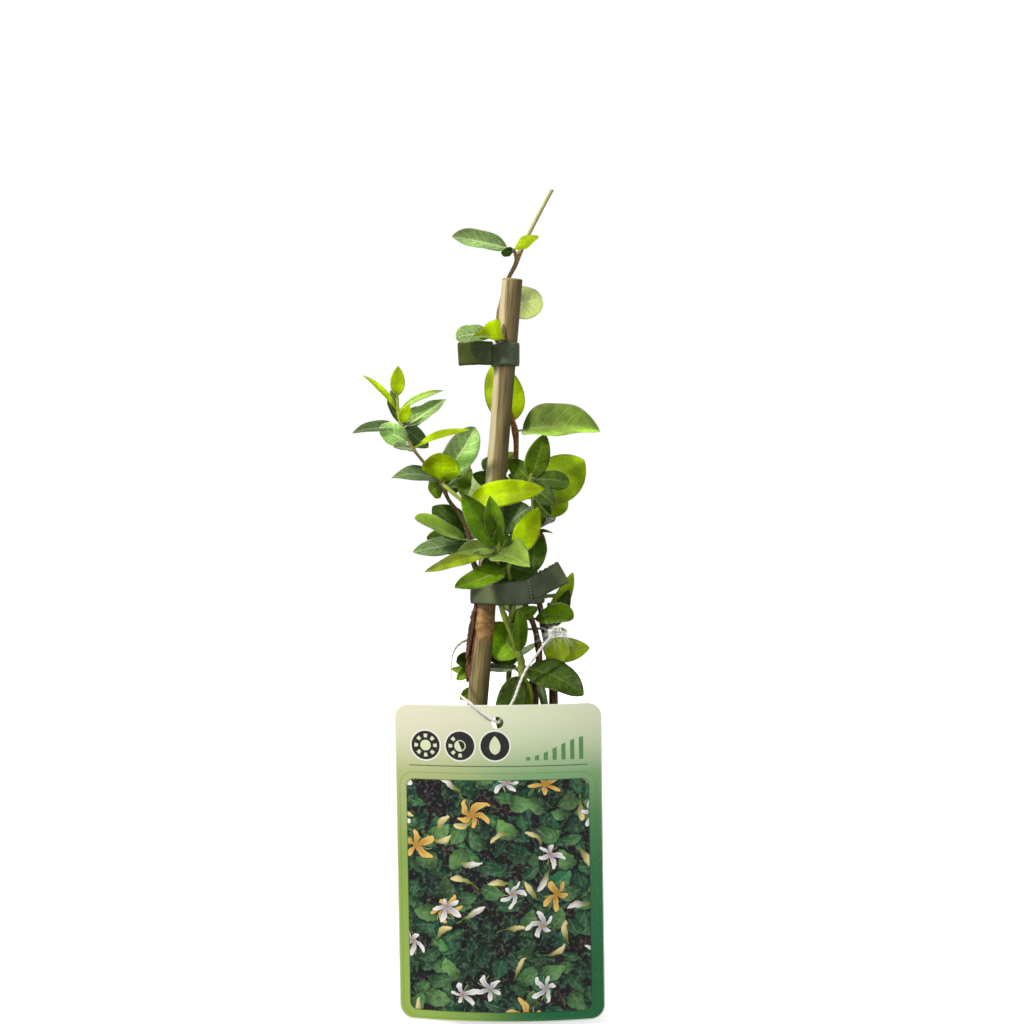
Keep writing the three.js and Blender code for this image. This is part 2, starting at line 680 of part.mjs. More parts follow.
function soil() {
  const reach = innerRadiusAt(SOIL.edge) - 2 * GAP;
  const profile = [
    [0, POT.floor + GAP],
    [innerRadiusAt(POT.floor) - 2 * GAP, POT.floor + GAP],
    ...SOIL.surface.map(([share, z]) => [share * reach, z]),
  ].map(([r, z]) => new THREE.Vector2(r, z));
  const plug = new THREE.LatheGeometry(profile, POT.sides).rotateX(Math.PI / 2);
  const holes = Object.values(STEMS).map(({ routes }) => {
    const low = routes.main[0];
    const high = routes.main[1];
    const past = (t) => low.map((value, i) => value + (high[i] - value) * t);
    const span = [past(STEM.holeFrom), past(STEM.holeTo)];
    const widened = span.map(([x, y, z, radius]) => [x, y, z, radius + STEM.hole]);
    return taperedTube(widened, STEM.holeSides, 1);
  });
  return cut(plug, [...holes, cane(GAP)]);
}

// ---------------------------------------------------------------- ties, label and string

// A closed band of tape, standing on edge round the stems.
function band(points, bottom) {
  const ring = new THREE.CatmullRomCurve3(
    points.map(([x, y]) => new THREE.Vector3(x, y, 0)),
    true,
    "catmullrom",
    0.5,
  );
  const steps = TAPE.stepsPerPoint * points.length;
  const offset = (distance) =>
    Array.from({ length: steps }, (_, i) => {
      const place = ring.getPointAt(i / steps);
      const tangent = ring.getTangentAt(i / steps);
      return new THREE.Vector2(place.x + tangent.y * distance, place.y - tangent.x * distance);
    });
  const [outer, inner] = [offset(TAPE.thickness / 2), offset(-TAPE.thickness / 2)];
  const outline = new THREE.Shape(outer);
  outline.holes.push(new THREE.Path(inner));
  return new THREE.ExtrudeGeometry(outline, {
    depth: TAPE.width,
    bevelEnabled: false,
    steps: 1,
  }).translate(0, 0, bottom);
}

// The tape's free end: a flat strip on edge, square to its own run.
function tail(points, thickness) {
  const curve = curveThrough(points);
  const rings = [];
  for (let i = 0; i <= TAPE.tailSteps; i++) {
    const tangent = curve.getTangentAt(i / TAPE.tailSteps);
    const through = new THREE.Vector3(tangent.y, -tangent.x, 0).normalize();
    const height = new THREE.Vector3().crossVectors(tangent, through);
    const corner = (h, t) =>
      curve
        .getPointAt(i / TAPE.tailSteps)
        .addScaledVector(height, (h * TAPE.width) / 2)
        .addScaledVector(through, (t * thickness) / 2);
    rings.push([corner(1, -1), corner(-1, -1), corner(-1, 1), corner(1, 1)]);
  }
  return loft(rings);
}

const tie = ({ band: points, bottom, tail: run, tailThickness }) =>
  joined([band(points, bottom), tail(run, tailThickness)]);

// The label's sheet: an arc strip as tall as the label, trimmed to the rounded outline and holed.
function labelSheet() {
  const half = LABEL.width / 2;
  const radius = (half * half + LABEL.sag * LABEL.sag) / (2 * LABEL.sag);
  const spread = Math.asin(half / radius) + LABEL.spare / radius;
  const arc = (r) =>
    Array.from({ length: LABEL.bowSteps + 1 }, (_, i) => {
      const angle = spread * ((2 * i) / LABEL.bowSteps - 1);
      return new THREE.Vector2(r * Math.sin(angle), radius - r * Math.cos(angle));
    });
  const strip = new THREE.Shape([...arc(radius + LABEL.thickness), ...arc(radius).reverse()]);
  const sheet = new THREE.ExtrudeGeometry(strip, {
    depth: LABEL.height + 2 * LABEL.spare,
    bevelEnabled: false,
  }).translate(0, 0, -LABEL.height / 2 - LABEL.spare);
  const top = LABEL.height / 2;
  const c = LABEL.cornerRadius;
  const outline = new THREE.Shape()
    .moveTo(-half + c, -top)
    .lineTo(half - c, -top)
    .absarc(half - c, -top + c, c, -Math.PI / 2, 0, false)
    .lineTo(half, top - c)
    .absarc(half - c, top - c, c, 0, Math.PI / 2, false)
    .lineTo(-half + c, top)
    .absarc(-half + c, top - c, c, Math.PI / 2, Math.PI, false)
    .lineTo(-half, -top + c)
    .absarc(-half + c, -top + c, c, Math.PI, 1.5 * Math.PI, false);
  const hole = new THREE.Path();
  hole.absarc(LABEL.holeAcross, top - LABEL.holeBelowTop, LABEL.holeRadius, 0, 2 * Math.PI, true);
  outline.holes.push(hole);
  const cutter = new THREE.ExtrudeGeometry(outline, {
    depth: LABEL.cutDepth,
    bevelEnabled: false,
    curveSegments: LABEL.cornerSteps,
  })
    .rotateX(Math.PI / 2)
    .translate(0, LABEL.cutDepth / 2, 0);
  return geometryOf(solidOf(sheet).intersect(solidOf(cutter)));
}

function stringTube() {
  const circle = new THREE.Shape();
  for (let k = 0; k < STRING.sides; k++) {
    const angle = (2 * Math.PI * k) / STRING.sides;
    const [x, y] = [STRING.radius * Math.cos(angle), STRING.radius * Math.sin(angle)];
    if (k) circle.lineTo(x, y);
    else circle.moveTo(x, y);
  }
  return new THREE.ExtrudeGeometry(circle, {
    steps: STRING.steps,
    extrudePath: curveThrough(STRING_ROUTE),
    bevelEnabled: false,
  });
}

// The knot: a small lump with two frayed ends standing out of it.
function knot() {
  const centre = vector(KNOT.centre);
  const lump = new THREE.SphereGeometry(1, 10, 7)
    .scale(...KNOT.size)
    .translate(...KNOT.centre);
  const wisps = KNOT.wisps.map((way) => {
    const end = vector(way).normalize().multiplyScalar(KNOT.wispLength).add(centre);
    const route = [
      [...KNOT.centre, KNOT.wispRadius],
      [...end.toArray(), KNOT.wispRadius / 2],
    ];
    return taperedTube(route, 6, 2);
  });
  return joined([lump, ...wisps]);
}

// ---------------------------------------------------------------- the scene graph

const plant = new THREE.Group();

function place(name, geometry, finish, group = plant) {
  const material = new THREE.MeshStandardMaterial({ ...finish, metalness: 0 });
  const mesh = new THREE.Mesh(geometry, material);
  mesh.name = name;
  group.add(mesh);
}

place("pot", pot(), FINISHES.pot);
place("soil", soil(), FINISHES.soil);
place("bamboo_cane", cane(), FINISHES.bamboo);
Object.entries(STEMS).forEach(([name, stem]) => place(name, leafyStem(stem), FINISHES.foliage));
place("tie_upper", tie(UPPER_TIE), FINISHES.tape);
place("tie_lower", tie(LOWER_TIE), FINISHES.tape);
place("label_string", stringTube(), FINISHES.string);
place("string_knot", knot(), FINISHES.string);

const hanging = new THREE.Group();
const turn = THREE.MathUtils.degToRad;
hanging.position.set(...LABEL.centre);
hanging.rotation.set(turn(LABEL.tilt), turn(LABEL.roll), turn(LABEL.yaw), "ZYX");
plant.add(hanging);
place("label", labelSheet(), FINISHES.label, hanging);

export default plant;
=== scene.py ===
"""Looks of a young honeysuckle vine, tied to a bamboo cane in its nursery pot.

Fine surfaces for the leaves, stems, cane, ties, care label, string, pot and soil, built round
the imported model: +Z up, with the origin in the middle of the pot's underside. Sizes and places
are millimetres, which become metres as each mesh is made. Textures count in metres, apart from
those that follow a leaf's or the label's own map, which are in millimetres.
"""
import logging
import math
import random
from abc import ABC, abstractmethod
from collections.abc import Mapping, Sequence
from dataclasses import dataclass, field
from enum import Enum
from functools import partialmethod
from typing import Any

import bpy
import numpy as np
from mathutils import Euler, Matrix, Vector, noise


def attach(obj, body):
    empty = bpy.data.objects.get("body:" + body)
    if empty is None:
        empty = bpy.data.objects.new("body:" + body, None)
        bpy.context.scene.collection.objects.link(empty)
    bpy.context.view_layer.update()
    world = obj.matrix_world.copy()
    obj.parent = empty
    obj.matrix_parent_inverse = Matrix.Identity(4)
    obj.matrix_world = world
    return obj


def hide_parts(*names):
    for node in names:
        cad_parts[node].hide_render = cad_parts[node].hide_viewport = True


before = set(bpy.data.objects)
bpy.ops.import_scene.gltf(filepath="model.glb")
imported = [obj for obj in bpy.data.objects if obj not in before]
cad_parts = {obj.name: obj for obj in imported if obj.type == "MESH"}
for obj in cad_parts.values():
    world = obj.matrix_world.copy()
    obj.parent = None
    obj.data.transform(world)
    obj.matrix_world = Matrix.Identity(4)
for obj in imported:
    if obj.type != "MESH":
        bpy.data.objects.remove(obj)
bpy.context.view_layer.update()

LOG = logging.getLogger("honeysuckle")
BODY = "root"
MILLIMETRE = 0.001

Array = np.ndarray
Point = tuple[float, ...]
Piece = bpy.types.Object
Faces = list[list[int]]
Part = tuple[Array, Faces]


def colour(code: str) -> Point:
    """Turns a written colour, as six hexadecimal digits, into the linear one of shaders."""
    shares = [int(code[i : i + 2], 16) / 255 for i in (0, 2, 4)]
    return tuple(c / 12.92 if c <= 0.04045 else ((c + 0.055) / 1.055) ** 2.4 for c in shares)


def unit(rows: Array) -> Array:
    """Scales each vector of an array to length 1."""
    return rows / np.linalg.norm(rows, axis=-1, keepdims=True)


def smooth_step(low: float, high: float, values: Array | float) -> Array:
    """Rises smoothly from 0 at low to 1 at high."""
    t = np.clip((values - low) / (high - low), 0, 1)
    return t * t * (3 - 2 * t)


def arc(angles: Array) -> Array:
    """Gives the points at angles on a circle of radius 1."""
    return np.stack([np.cos(angles), np.sin(angles)], -1)


def circle(count: int) -> Array:
    """Gives points evenly round a circle of radius 1."""
    return arc(np.arange(count) * math.tau / count)


# ---- node trees


class Field:
    """A value, vector or colour that a node tree works out; arithmetic on it adds math nodes."""

    def __init__(self, graph: "Graph", socket: bpy.types.NodeSocket) -> None:
        """Wraps an output of one of the graph's nodes."""
        self.graph = graph
        self.socket = socket

    def math(self, operation: str, *others: Any) -> "Field":
        """Adds a math node on this field and others."""
        return self.graph.math(operation, self, *others)

    __add__ = __radd__ = partialmethod(math, "ADD")
    __sub__ = partialmethod(math, "SUBTRACT")
    __mul__ = __rmul__ = partialmethod(math, "MULTIPLY")
    __truediv__ = partialmethod(math, "DIVIDE")
    __pow__ = partialmethod(math, "POWER")
    __abs__ = partialmethod(math, "ABSOLUTE")
    highest = partialmethod(math, "MAXIMUM")
    lowest = partialmethod(math, "MINIMUM")
    cos = partialmethod(math, "COSINE")

    def __rsub__(self, other: Any) -> "Field":
        """Takes this from a number."""
        return self.graph.math("SUBTRACT", other, self)

    def ramp(self, low: float, high: float) -> "Field":
        """Rises smoothly from 0 where this is low to 1 where it is high; low may be the larger."""
        inputs = {"Value": self, "From Min": low, "From Max": high}
        return self.graph.out("ShaderNodeMapRange", inputs, interpolation_type="SMOOTHSTEP")

    def mix(self, share: Any, other: Any) -> "Field":
        """Lays a share of another colour over this one."""
        return self.graph.mix(share, self, other)

    def parts(self) -> list["Field"]:
        """Parts a vector into its three numbers."""
        made = self.graph.node("ShaderNodeSeparateXYZ", {0: self})
        return [Field(self.graph, part) for part in made.outputs]

    def vector(self, operation: str, **inputs: Any) -> "Field":
        """Adds a vector math node; its inputs are called other and scale."""
        named = {{"other": 1, "scale": "Scale"}[name]: value for name, value in inputs.items()}
        return self.graph.out("ShaderNodeVectorMath", {0: self, **named}, operation=operation)

    def noise(self, scale: Any, detail: float = 2, bend: float = 0, stretch: Point = (1, 1, 1)) -> "Field":
        """Gives noise of about 0 to 1 at this place.

        Args:
            scale: How many lumps there are in a length of 1.
            detail: How many finer layers are added.
            bend: How much the lumps are drawn into swirls.
            stretch: Multiplies the place first, along each axis.

        Returns:
            The noise.
        """
        at = self if stretch == (1, 1, 1) else self.vector("MULTIPLY", other=stretch)
        inputs = {"Vector": at, "Scale": scale, "Detail": detail, "Distortion": bend}
        return self.graph.out("ShaderNodeTexNoise", inputs)

    def cells(self, scale: float, feature: str = "F1", spread: float = 1.0) -> dict[str, "Field"]:
        """Gives the outputs of a cell texture over a plane, by their names.

        Args:
            scale: How many cells there are in a length of 1.
            feature: Which measure of the cells is wanted.
            spread: How unevenly they lie, 0 to 1.

        Returns:
            The texture's outputs by name.
        """
        inputs = {"Vector": self, "Scale": scale, "Randomness": spread}
        made = self.graph.node("ShaderNodeTexVoronoi", inputs, voronoi_dimensions="2D", feature=feature)
        return {output.name: Field(self.graph, output) for output in made.outputs}

    def bands(self, *stops: tuple[float, str]) -> "Field":
        """Runs through written colours, each at its own place from 0 to 1.

        Args:
            *stops: Each colour's place and written colour.

        Returns:
            The colour.
        """
        ramp = self.graph.node("ShaderNodeValToRGB", {0: self})
        elements = ramp.color_ramp.elements
        while len(elements) < len(stops):
            elements.new(0.5)
        for element, (place, code) in zip(elements, stops):
            element.position = place
            element.color = (*colour(code), 1)
        return Field(self.graph, ramp.outputs["Color"])

    def bump(self, depth: float) -> "Field":
        """Tilts the surface as relief of that depth in metres would."""
        return self.graph.out("ShaderNodeBump", {"Height": self, "Distance": depth, "Strength": 1.0})


class Graph:
    """Adds and links the nodes of one shader tree or geometry tree."""

    def __init__(self, tree: bpy.types.NodeTree) -> None:
        """Starts on a tree."""
        self.tree = tree

    def feed(self, socket: bpy.types.NodeSocket, value: Any) -> None:
        """Links a field to an input, or sets the input's own value or written colour.

        Args:
            socket: The input.
            value: A field, a number, a vector or a written colour.
        """
        if isinstance(value, Field):
            self.tree.links.new(value.socket, socket)
        elif socket.type == "RGBA":
            socket.default_value = (*colour(value), 1)
        else:
            socket.default_value = value

    def node(self, kind: str, inputs: Mapping[Any, Any] | None = None, **settings: Any) -> bpy.types.Node:
        """Adds a node.

        Args:
            kind: Blender's name for the node.
            inputs: Values, written colours or fields by the input's name or number.
            **settings: The node's own settings.

        Returns:
            The new node.
        """
        made = self.tree.nodes.new(kind)
        for name, value in settings.items():
            setattr(made, name, value)
        for name, value in (inputs or {}).items():
            self.feed(made.inputs[name], value)
        return made

    def out(self, kind: str, inputs: Mapping[Any, Any] | None = None, at: Any = 0, **settings: Any) -> Field:
        """Adds a node and gives one of its outputs as a field."""
        return Field(self, self.node(kind, inputs, **settings).outputs[at])

    def geo(self, kind: str, inputs: Mapping[Any, Any] | None = None, **settings: Any) -> Field:
        """Adds a geometry node, by the rest of its name."""
        return self.out("GeometryNode" + kind, inputs, **settings)

    def math(self, operation: str, *values: Any) -> Field:
        """Adds a math node."""
        return self.out("ShaderNodeMath", dict(enumerate(values)), operation=operation)

    def mix(self, share: Any, first: Any, second: Any, blend: str = "MIX") -> Field:
        """Mixes two colours."""
        inputs = {0: share, 6: first, 7: second}
        return self.out("ShaderNodeMix", inputs, 2, data_type="RGBA", blend_type=blend)

    def xyz(self, x: Any, y: Any, z: Any = 0.0) -> Field:
        """Joins three numbers to a vector."""
        return self.out("ShaderNodeCombineXYZ", {0: x, 1: y, 2: z})

    def uv(self, name: str) -> Field:
        """Reads one of the piece's own maps."""
        return self.out("ShaderNodeUVMap", uv_map=name)

    def painted(self, name: str, at: str = "Fac") -> Field:
        """Reads an attribute of the piece."""
        return self.out("ShaderNodeAttribute", at=at, attribute_name=name)

    def place(self, turn: Point = (0, 0, 0)) -> Field:
        """Gives the point in the piece's own frame, in metres, turned about the origin."""
        point = self.out("ShaderNodeTexCoord", at="Object")
        return self.out("ShaderNodeMapping", {"Vector": point, "Rotation": turn})


# ---- finishes


@dataclass(frozen=True)
class Finish(ABC):
    """A finish, which makes its material once."""

    name: str

    def material(self) -> bpy.types.Material:
        """Gives the material, made on first use.

        Returns:
            The material.
        """
        known = bpy.data.materials.get(self.name)
        if known:
            return known
        made = bpy.data.materials.new(self.name)
        made.use_nodes = True
        graph = Graph(made.node_tree)
        shader = made.node_tree.nodes["Principled BSDF"]
        inputs = self.inputs(graph)
        glow, through = inputs.pop("Glow", None), inputs.pop("Through", None)
        for name, value in inputs.items():
            graph.feed(shader.inputs[name], value)
        if glow:
            behind = graph.out("ShaderNodeBsdfTranslucent", {"Color": glow, "Normal": inputs["Normal"]})
            skin = Field(graph, shader.outputs[0])
            mixed = graph.out("ShaderNodeMixShader", {0: through, 1: skin, 2: behind})
            graph.feed(graph.tree.nodes["Material Output"].inputs["Surface"], mixed)
        return made

    @abstractmethod
    def inputs(self, graph: Graph) -> dict[str, Any]:
        """Gives the shader's inputs by name, and the Glow of light from behind, with its share, Through.

        Args:
            graph: The material's nodes.

        Returns:
            The shader's inputs by name.
        """


@dataclass(frozen=True)
class VeinPlan:
    """How a leaf's side veins run, in shares of the blade: the same in relief and in colour."""

    count: float = 6.5
    sweep: float = 0.24
    bow: float = 1.4
    stagger: float = 0.14

    def phase(self, s: Any, reach: Any, side: Any) -> Any:
        """Gives a number whose fraction is a half on each vein.

        Args:
            s: Place along the blade, 0 to 1.
            reach: Distance from the midrib as a share of the half-width.
            side: -1 on one half of the blade, 1 on the other.

        Returns:
            The number.
        """
        return (s - reach**self.bow * self.sweep) * self.count + side * self.stagger


VEINS = VeinPlan()


@dataclass(frozen=True)
class LeafFinish(Finish):
    """A leaf's skin, with veins, a fine net, a pale margin and light from behind."""

    blade: str
    light: str
    vein: str
    margin: str
    back: str
    glow: str
    through: float = 0.4
    roughness: float = 0.42
    gloss: float = 0.18
    sheen: float = 0.0
    vein_share: float = 0.5
    net_share: float = 0.25
    net_size: float = 1.2
    margin_share: float = 0.6

    def inputs(self, graph: Graph) -> dict[str, Any]:
        """Lays patches, net, veins, margin and underside over each other, then multiplies in the painted
        light and shade.

        Args:
            graph: The material's nodes.

        Returns:
            The shader's inputs by name.
        """
        s, v, _ = graph.uv("leaf").parts()
        size = graph.uv("leaf_size")
        across = size.parts()[1]
        reach = abs(v)
        gap = abs(VEINS.phase(s, reach, v.math("SIGN")).math("FRACT") - 0.5)
        side = gap.ramp(0.1, 0.02) * reach.ramp(1.0, 0.7) * s.ramp(0.02, 0.1)
        lines = (side * 0.6).highest((abs(across) + s * 0.3).ramp(0.6, 0.26))
        warp = size.noise(1.1) * 0.9
        bent = size.vector("ADD", other=graph.xyz(warp, warp))
        net = bent.cells(1.0 / self.net_size, "DISTANCE_TO_EDGE")["Distance"].ramp(0.13, 0.0)
        net = net.highest(size.noise(2.2, 3, 0.8).ramp(0.48, 0.66) * 0.8)
        patches = size.noise(0.3, 3, 0.6)
        speckle = size.noise(3.2)
        tone = graph.mix(patches.ramp(0.25, 0.75), self.blade, self.light)
        tone = tone.mix(net * speckle.ramp(0.3, 0.6) * self.net_share, self.vein)
        tone = tone.mix(lines * min(1.0, self.vein_share * 1.4), self.vein)
        tone = tone.mix(reach.ramp(0.9, 1.0) * self.margin_share, self.margin)
        tone = tone.mix(graph.painted("under"), graph.mix(lines * 0.6, self.back, self.vein))
        # painted light and shade: each leaf's own painted shade, times a broad dapple of painted light and
        # shadow over the plant
        shade = graph.painted("shade") * (graph.place().noise(75, 1).ramp(0.36, 0.66) * 0.4 + 0.8)
        shades = graph.xyz(shade, shade, shade)
        glow = graph.mix(lines * 0.6, self.glow, self.light).mix(net * 0.3, self.blade)
        relief = patches * 0.25 - lines * 0.55 - net * 0.2 + speckle * 0.12
        return {
            "Base Color": graph.mix(1.0, tone, shades, "MULTIPLY"),
            "Roughness": speckle.ramp(-1.2, 2.2) * 0.3 + (self.roughness - 0.15),
            "Sheen Weight": self.sheen,
            "Sheen Roughness": 0.45,
            "Specular IOR Level": self.gloss,
            "Normal": relief.bump(0.00022),
            "Glow": graph.mix(1.0, glow, shades, "MULTIPLY"),
            "Through": self.through,
        }


class Tone(Enum):
    """The kinds of leaf on the plant, from young to dark, downy and dry; LIT has painted sunlight in its
    bright colour.
    """

    # painted light: the bright yellow-green of leaves with sunlight shining through them, on top of the
    # shader's translucency
    LIT = LeafFinish(
        "leaf_painted_sunlit", "94ac04", "c4da10", "d3e04c", "c4d440", "a8bc26", "e4f600",
        through=0.55, roughness=0.45, gloss=0.12, vein_share=0.25, net_share=0.1,
    )
    YOUNG = LeafFinish(
        "leaf_young", "6e922a", "98b64c", "c8d890", "d8e2a8", "9cb264", "b0c634",
        through=0.45, roughness=0.5, sheen=0.1, margin_share=0.9,
    )
    MID = LeafFinish(
        "leaf_mid", "486b06", "709512", "a8ba58", "b2c46c", "889e4a", "9ab600",
        gloss=0.1, vein_share=0.45, margin_share=0.8,
    )
    DARK = LeafFinish(
        "leaf_dark", "293f08", "4a6416", "7c9a4c", "8ea65c", "688048", "5c8a04",
        through=0.3, roughness=0.4, gloss=0.17, vein_share=0.33, net_share=0.15, margin_share=0.4,
    )
    PALE = LeafFinish(
        "leaf_pale", "46702c", "7c9c56", "cad8a6", "dce6c2", "aec48e", "9cbc4c",
        through=0.32, roughness=0.6, gloss=0.1, sheen=0.25, vein_share=0.8, net_share=0.7, margin_share=0.9,
        net_size=1.4,
    )
    DOWNY = LeafFinish(
        "leaf_downy", "86935e", "a9b580", "dfe6c8", "e3e9cc", "a7b088", "c3c890",
        through=0.4, roughness=0.6, gloss=0.1, sheen=0.25, vein_share=0.7, net_share=0.5, margin_share=0.8,
        net_size=1.4,
    )
    GREY = LeafFinish(
        "leaf_grey", "40602c", "668450", "b0c494", "bccca0", "8ea276", "80a43c",
        through=0.3, roughness=0.55, gloss=0.15, sheen=0.2, net_share=0.35, margin_share=0.7, net_size=1.3,
    )
    OLIVE = LeafFinish(
        "leaf_olive", "6c8008", "94a418", "b8c454", "bcc85c", "96a436", "b6cc00",
        through=0.45, vein_share=0.3,
    )
    DRY = LeafFinish(
        "leaf_dry", "463610", "786c18", "8f7a3c", "4f2d12", "6a6420", "96900c",
        through=0.3, roughness=0.65, vein_share=0.4, margin_share=0.9,
    )


LIT, YOUNG, MID, DARK, PALE, DOWNY, GREY, OLIVE, DRY = Tone


@dataclass(frozen=True)
class StemFinish(Finish):
    """Green skin or peeling bark, as the stem's own tint and bark share say."""

    def inputs(self, graph: Graph) -> dict[str, Any]:
        """Lays fissures over bark and pale flecks over green skin.

        Args:
            graph: The material's nodes.

        Returns:
            The shader's inputs by name.
        """
        point = graph.place()
        flecks = point.noise(700, 3)
        bark = graph.painted("bark")
        tint = graph.painted("tint", "Color")
        streaks = point.noise(1500, 3, 0.4, (1, 1, 0.12)).ramp(0.38, 0.62)
        fissured = tint.mix(0.72, "1d120b").mix(streaks, tint.mix(0.3, "a98a64"))
        green = tint.mix(flecks.ramp(0.45, 0.75) * 0.4, "c9cf8e")
        return {
            "Base Color": green.mix(bark, fissured),
            "Roughness": bark * 0.35 + 0.5,
            "Specular IOR Level": 0.25,
            "Normal": (streaks * bark + flecks * 0.3).bump(0.0003),
        }


class StemSkin(Enum):
    """Skins of a stem: its colour, and how much of it is bark."""

    BARK = ("563a24", 1.0)
    BROWN = ("74573a", 0.4)
    RED = ("94521e", 0.15)
    PINK = ("937a4e", 0.1)
    GREEN = ("727f2c", 0.0)
    FRESH = ("94a43c", 0.0)
    STRAW = ("a9a26c", 0.0)


BARK, BROWN, RED, PINK, GREEN, FRESH, STRAW = StemSkin


@dataclass(frozen=True)
class HairFinish(Finish):
    """Fine pale hairs and cotton fibres."""

    tint: str
    through: float = 0.4

    def inputs(self, graph: Graph) -> dict[str, Any]:
        """Mottles the tint with white, and lets light through.

        Args:
            graph: The material's nodes.

        Returns:
            The shader's inputs by name.
        """
        tone = graph.mix(graph.place().noise(300), self.tint, "ffffff")
        straight = graph.out("ShaderNodeNewGeometry", at="Normal")
        glow = {"Glow": tone, "Through": self.through}
        return {"Base Color": tone, "Roughness": 0.6, "Normal": straight, **glow}


@dataclass(frozen=True)
class BambooFinish(Finish):
    """Dry bamboo: lengthwise fibres, brown stains at the growth rings, a pale cut end, painted shade down its
    right side and a painted highlight down its left.
    """

    lean: float
    axis: float
    ring_heights: tuple[float, ...]
    cut_height: float

    def inputs(self, graph: Graph) -> dict[str, Any]:
        """Lays streaks, fibres, painted shade and a painted highlight on the sides, stains and the cut end
        over each other.

        Args:
            graph: The material's nodes.

        Returns:
            The shader's inputs by name.
        """
        point = graph.place((0, -self.lean, 0))
        aside = point.parts()[0] / MILLIMETRE - self.axis
        z = graph.place().parts()[2] / MILLIMETRE
        fibres = point.noise(2600, 4, 0.2, (1, 1, 0.02))
        streaks = point.noise(700, 3, 0.3, (1, 1, 0.05))
        clouds = point.noise(70, 3, 0.5, (1, 1, 0.4))
        streaky, cloudy = streaks - 0.5, clouds - 0.5
        tone = clouds.bands((0.3, "72623e"), (0.5, "86764e"), (0.7, "7a6f44"))
        tone = tone.mix(streaks.ramp(0.52, 0.68) * 0.65, "4d3f24")
        tone = tone.mix(streaks.ramp(0.47, 0.3) * 0.55, "a8996c")
        tone = tone.mix(fibres.ramp(0.5, 0.7) * 0.6, "43341c")
        # painted shade down the cane's right side
        tone = tone.mix((aside + cloudy * 6).ramp(-0.5, 4.5) * 0.4, "3b2f1b")
        # painted highlight: a pale strip down the cane's left side, stronger towards its head
        painted_highlight = z.ramp(190, 255) * 0.46 + 0.08
        tone = tone.mix((aside + streaky * 5).ramp(-1.3, -3.3) * painted_highlight, "e8ddba")
        for height in self.ring_heights:
            above = z - height
            stain = (above + cloudy * 25 + streaky * 6).ramp(-12, -7) * above.ramp(30, 18)
            brown = graph.mix(point.noise(260, 3, 0.5).ramp(0.4, 0.62), "b58c58", "86623a")
            tone = tone.mix(stain * 0.85, brown)
            tone = tone.mix(abs(above + streaky * 3).ramp(0.7, 0.1) * 0.35, "33220f")
        end = graph.mix(point.noise(3000).ramp(0.4, 0.65), "a5946a", "6f5f3c")
        return {
            "Base Color": tone.mix(z.ramp(self.cut_height - 0.9, self.cut_height - 0.4), end),
            "Roughness": fibres * 0.35 + 0.4,
            "Specular IOR Level": 0.25,
            "Normal": (fibres * 0.5 + streaks * 0.5).bump(0.00035),
        }


@dataclass(frozen=True)
class TapeFinish(Finish):
    """Grey-green tying tape with a dull sheen, stretched paler in places."""

    dark: str
    pale: str
    rubbed: str

    def inputs(self, graph: Graph) -> dict[str, Any]:
        """Lays rubbed streaks over soft clouds.

        Args:
            graph: The material's nodes.

        Returns:
            The shader's inputs by name.
        """
        point = graph.place()
        clouds = point.noise(90, 2, 0.3, (1, 1, 0.4))
        drawn = point.noise(900, 2, 0, (0.15, 0.15, 1))
        tone = graph.mix(clouds.ramp(0.35, 0.7), self.dark, self.pale)
        return {
            "Base Color": tone.mix(drawn.ramp(0.55, 0.8) * 0.25, self.rubbed),
            "Roughness": drawn * 0.2 + 0.34,
            "Specular IOR Level": 0.3,
            "Normal": (drawn * 0.6 + point.noise(2200) * 0.3).bump(0.0001),
        }


@dataclass(frozen=True)
class PlainFinish(Finish):
    """A moulded or spun surface of one colour, mottled and roughened a little."""

    tint: str
    mottle: str
    grain: float
    depth: float
    roughness: float
    coat: float = 0.0

    def inputs(self, graph: Graph) -> dict[str, Any]:
        """Mottles the tint and raises the grain.

        Args:
            graph: The material's nodes.

        Returns:
            The shader's inputs by name.
        """
        grain = graph.place().noise(self.grain, 4, 0.3)
        clouds = graph.place().noise(self.grain / 12, 3)
        return {
            "Base Color": graph.mix((grain * 0.5 + clouds * 0.5).ramp(0.4, 0.65), self.tint, self.mottle),
            "Roughness": clouds * 0.2 + (self.roughness - 0.1),
            "Coat Weight": self.coat,
            "Coat Roughness": 0.2,
            "Normal": grain.bump(self.depth),
        }


@dataclass(frozen=True)
class StudioFinish(Finish):
    """The studio's floor: matt white, and lit from within a little as a light table is."""

    glow: float = 0.62

    def inputs(self, graph: Graph) -> dict[str, Any]:
        """Sets the colour and the light."""
        lit = {"Emission Color": "ffffff", "Emission Strength": self.glow}
        return {"Base Color": "f4f4f2", "Roughness": 0.9, **lit}


@dataclass(frozen=True)
class ThreadFinish(Finish):
    """White cotton thread: soft, with painted shade greying the grooves of its twist."""

    def inputs(self, graph: Graph) -> dict[str, Any]:
        """Paints shade into the grooves and roughens the fibres.

        Args:
            graph: The material's nodes.

        Returns:
            The shader's inputs by name.
        """
        fuzz = graph.place().noise(3500, 3)
        tone = graph.mix(fuzz.ramp(0.35, 0.7), "dcdcd6", "fbfbf8")
        return {
            # painted shade in the grooves between the strands
            "Base Color": tone.mix(graph.painted("groove") * 0.45, "a9a9a2"),
            "Roughness": 0.85,
            "Sheen Weight": 0.3,
            "Normal": fuzz.bump(0.0001),
        }


def away(x: Field, y: Field) -> Field:
    """Gives the distance from 0, 0."""
    return (x * x + y * y).math("SQRT")


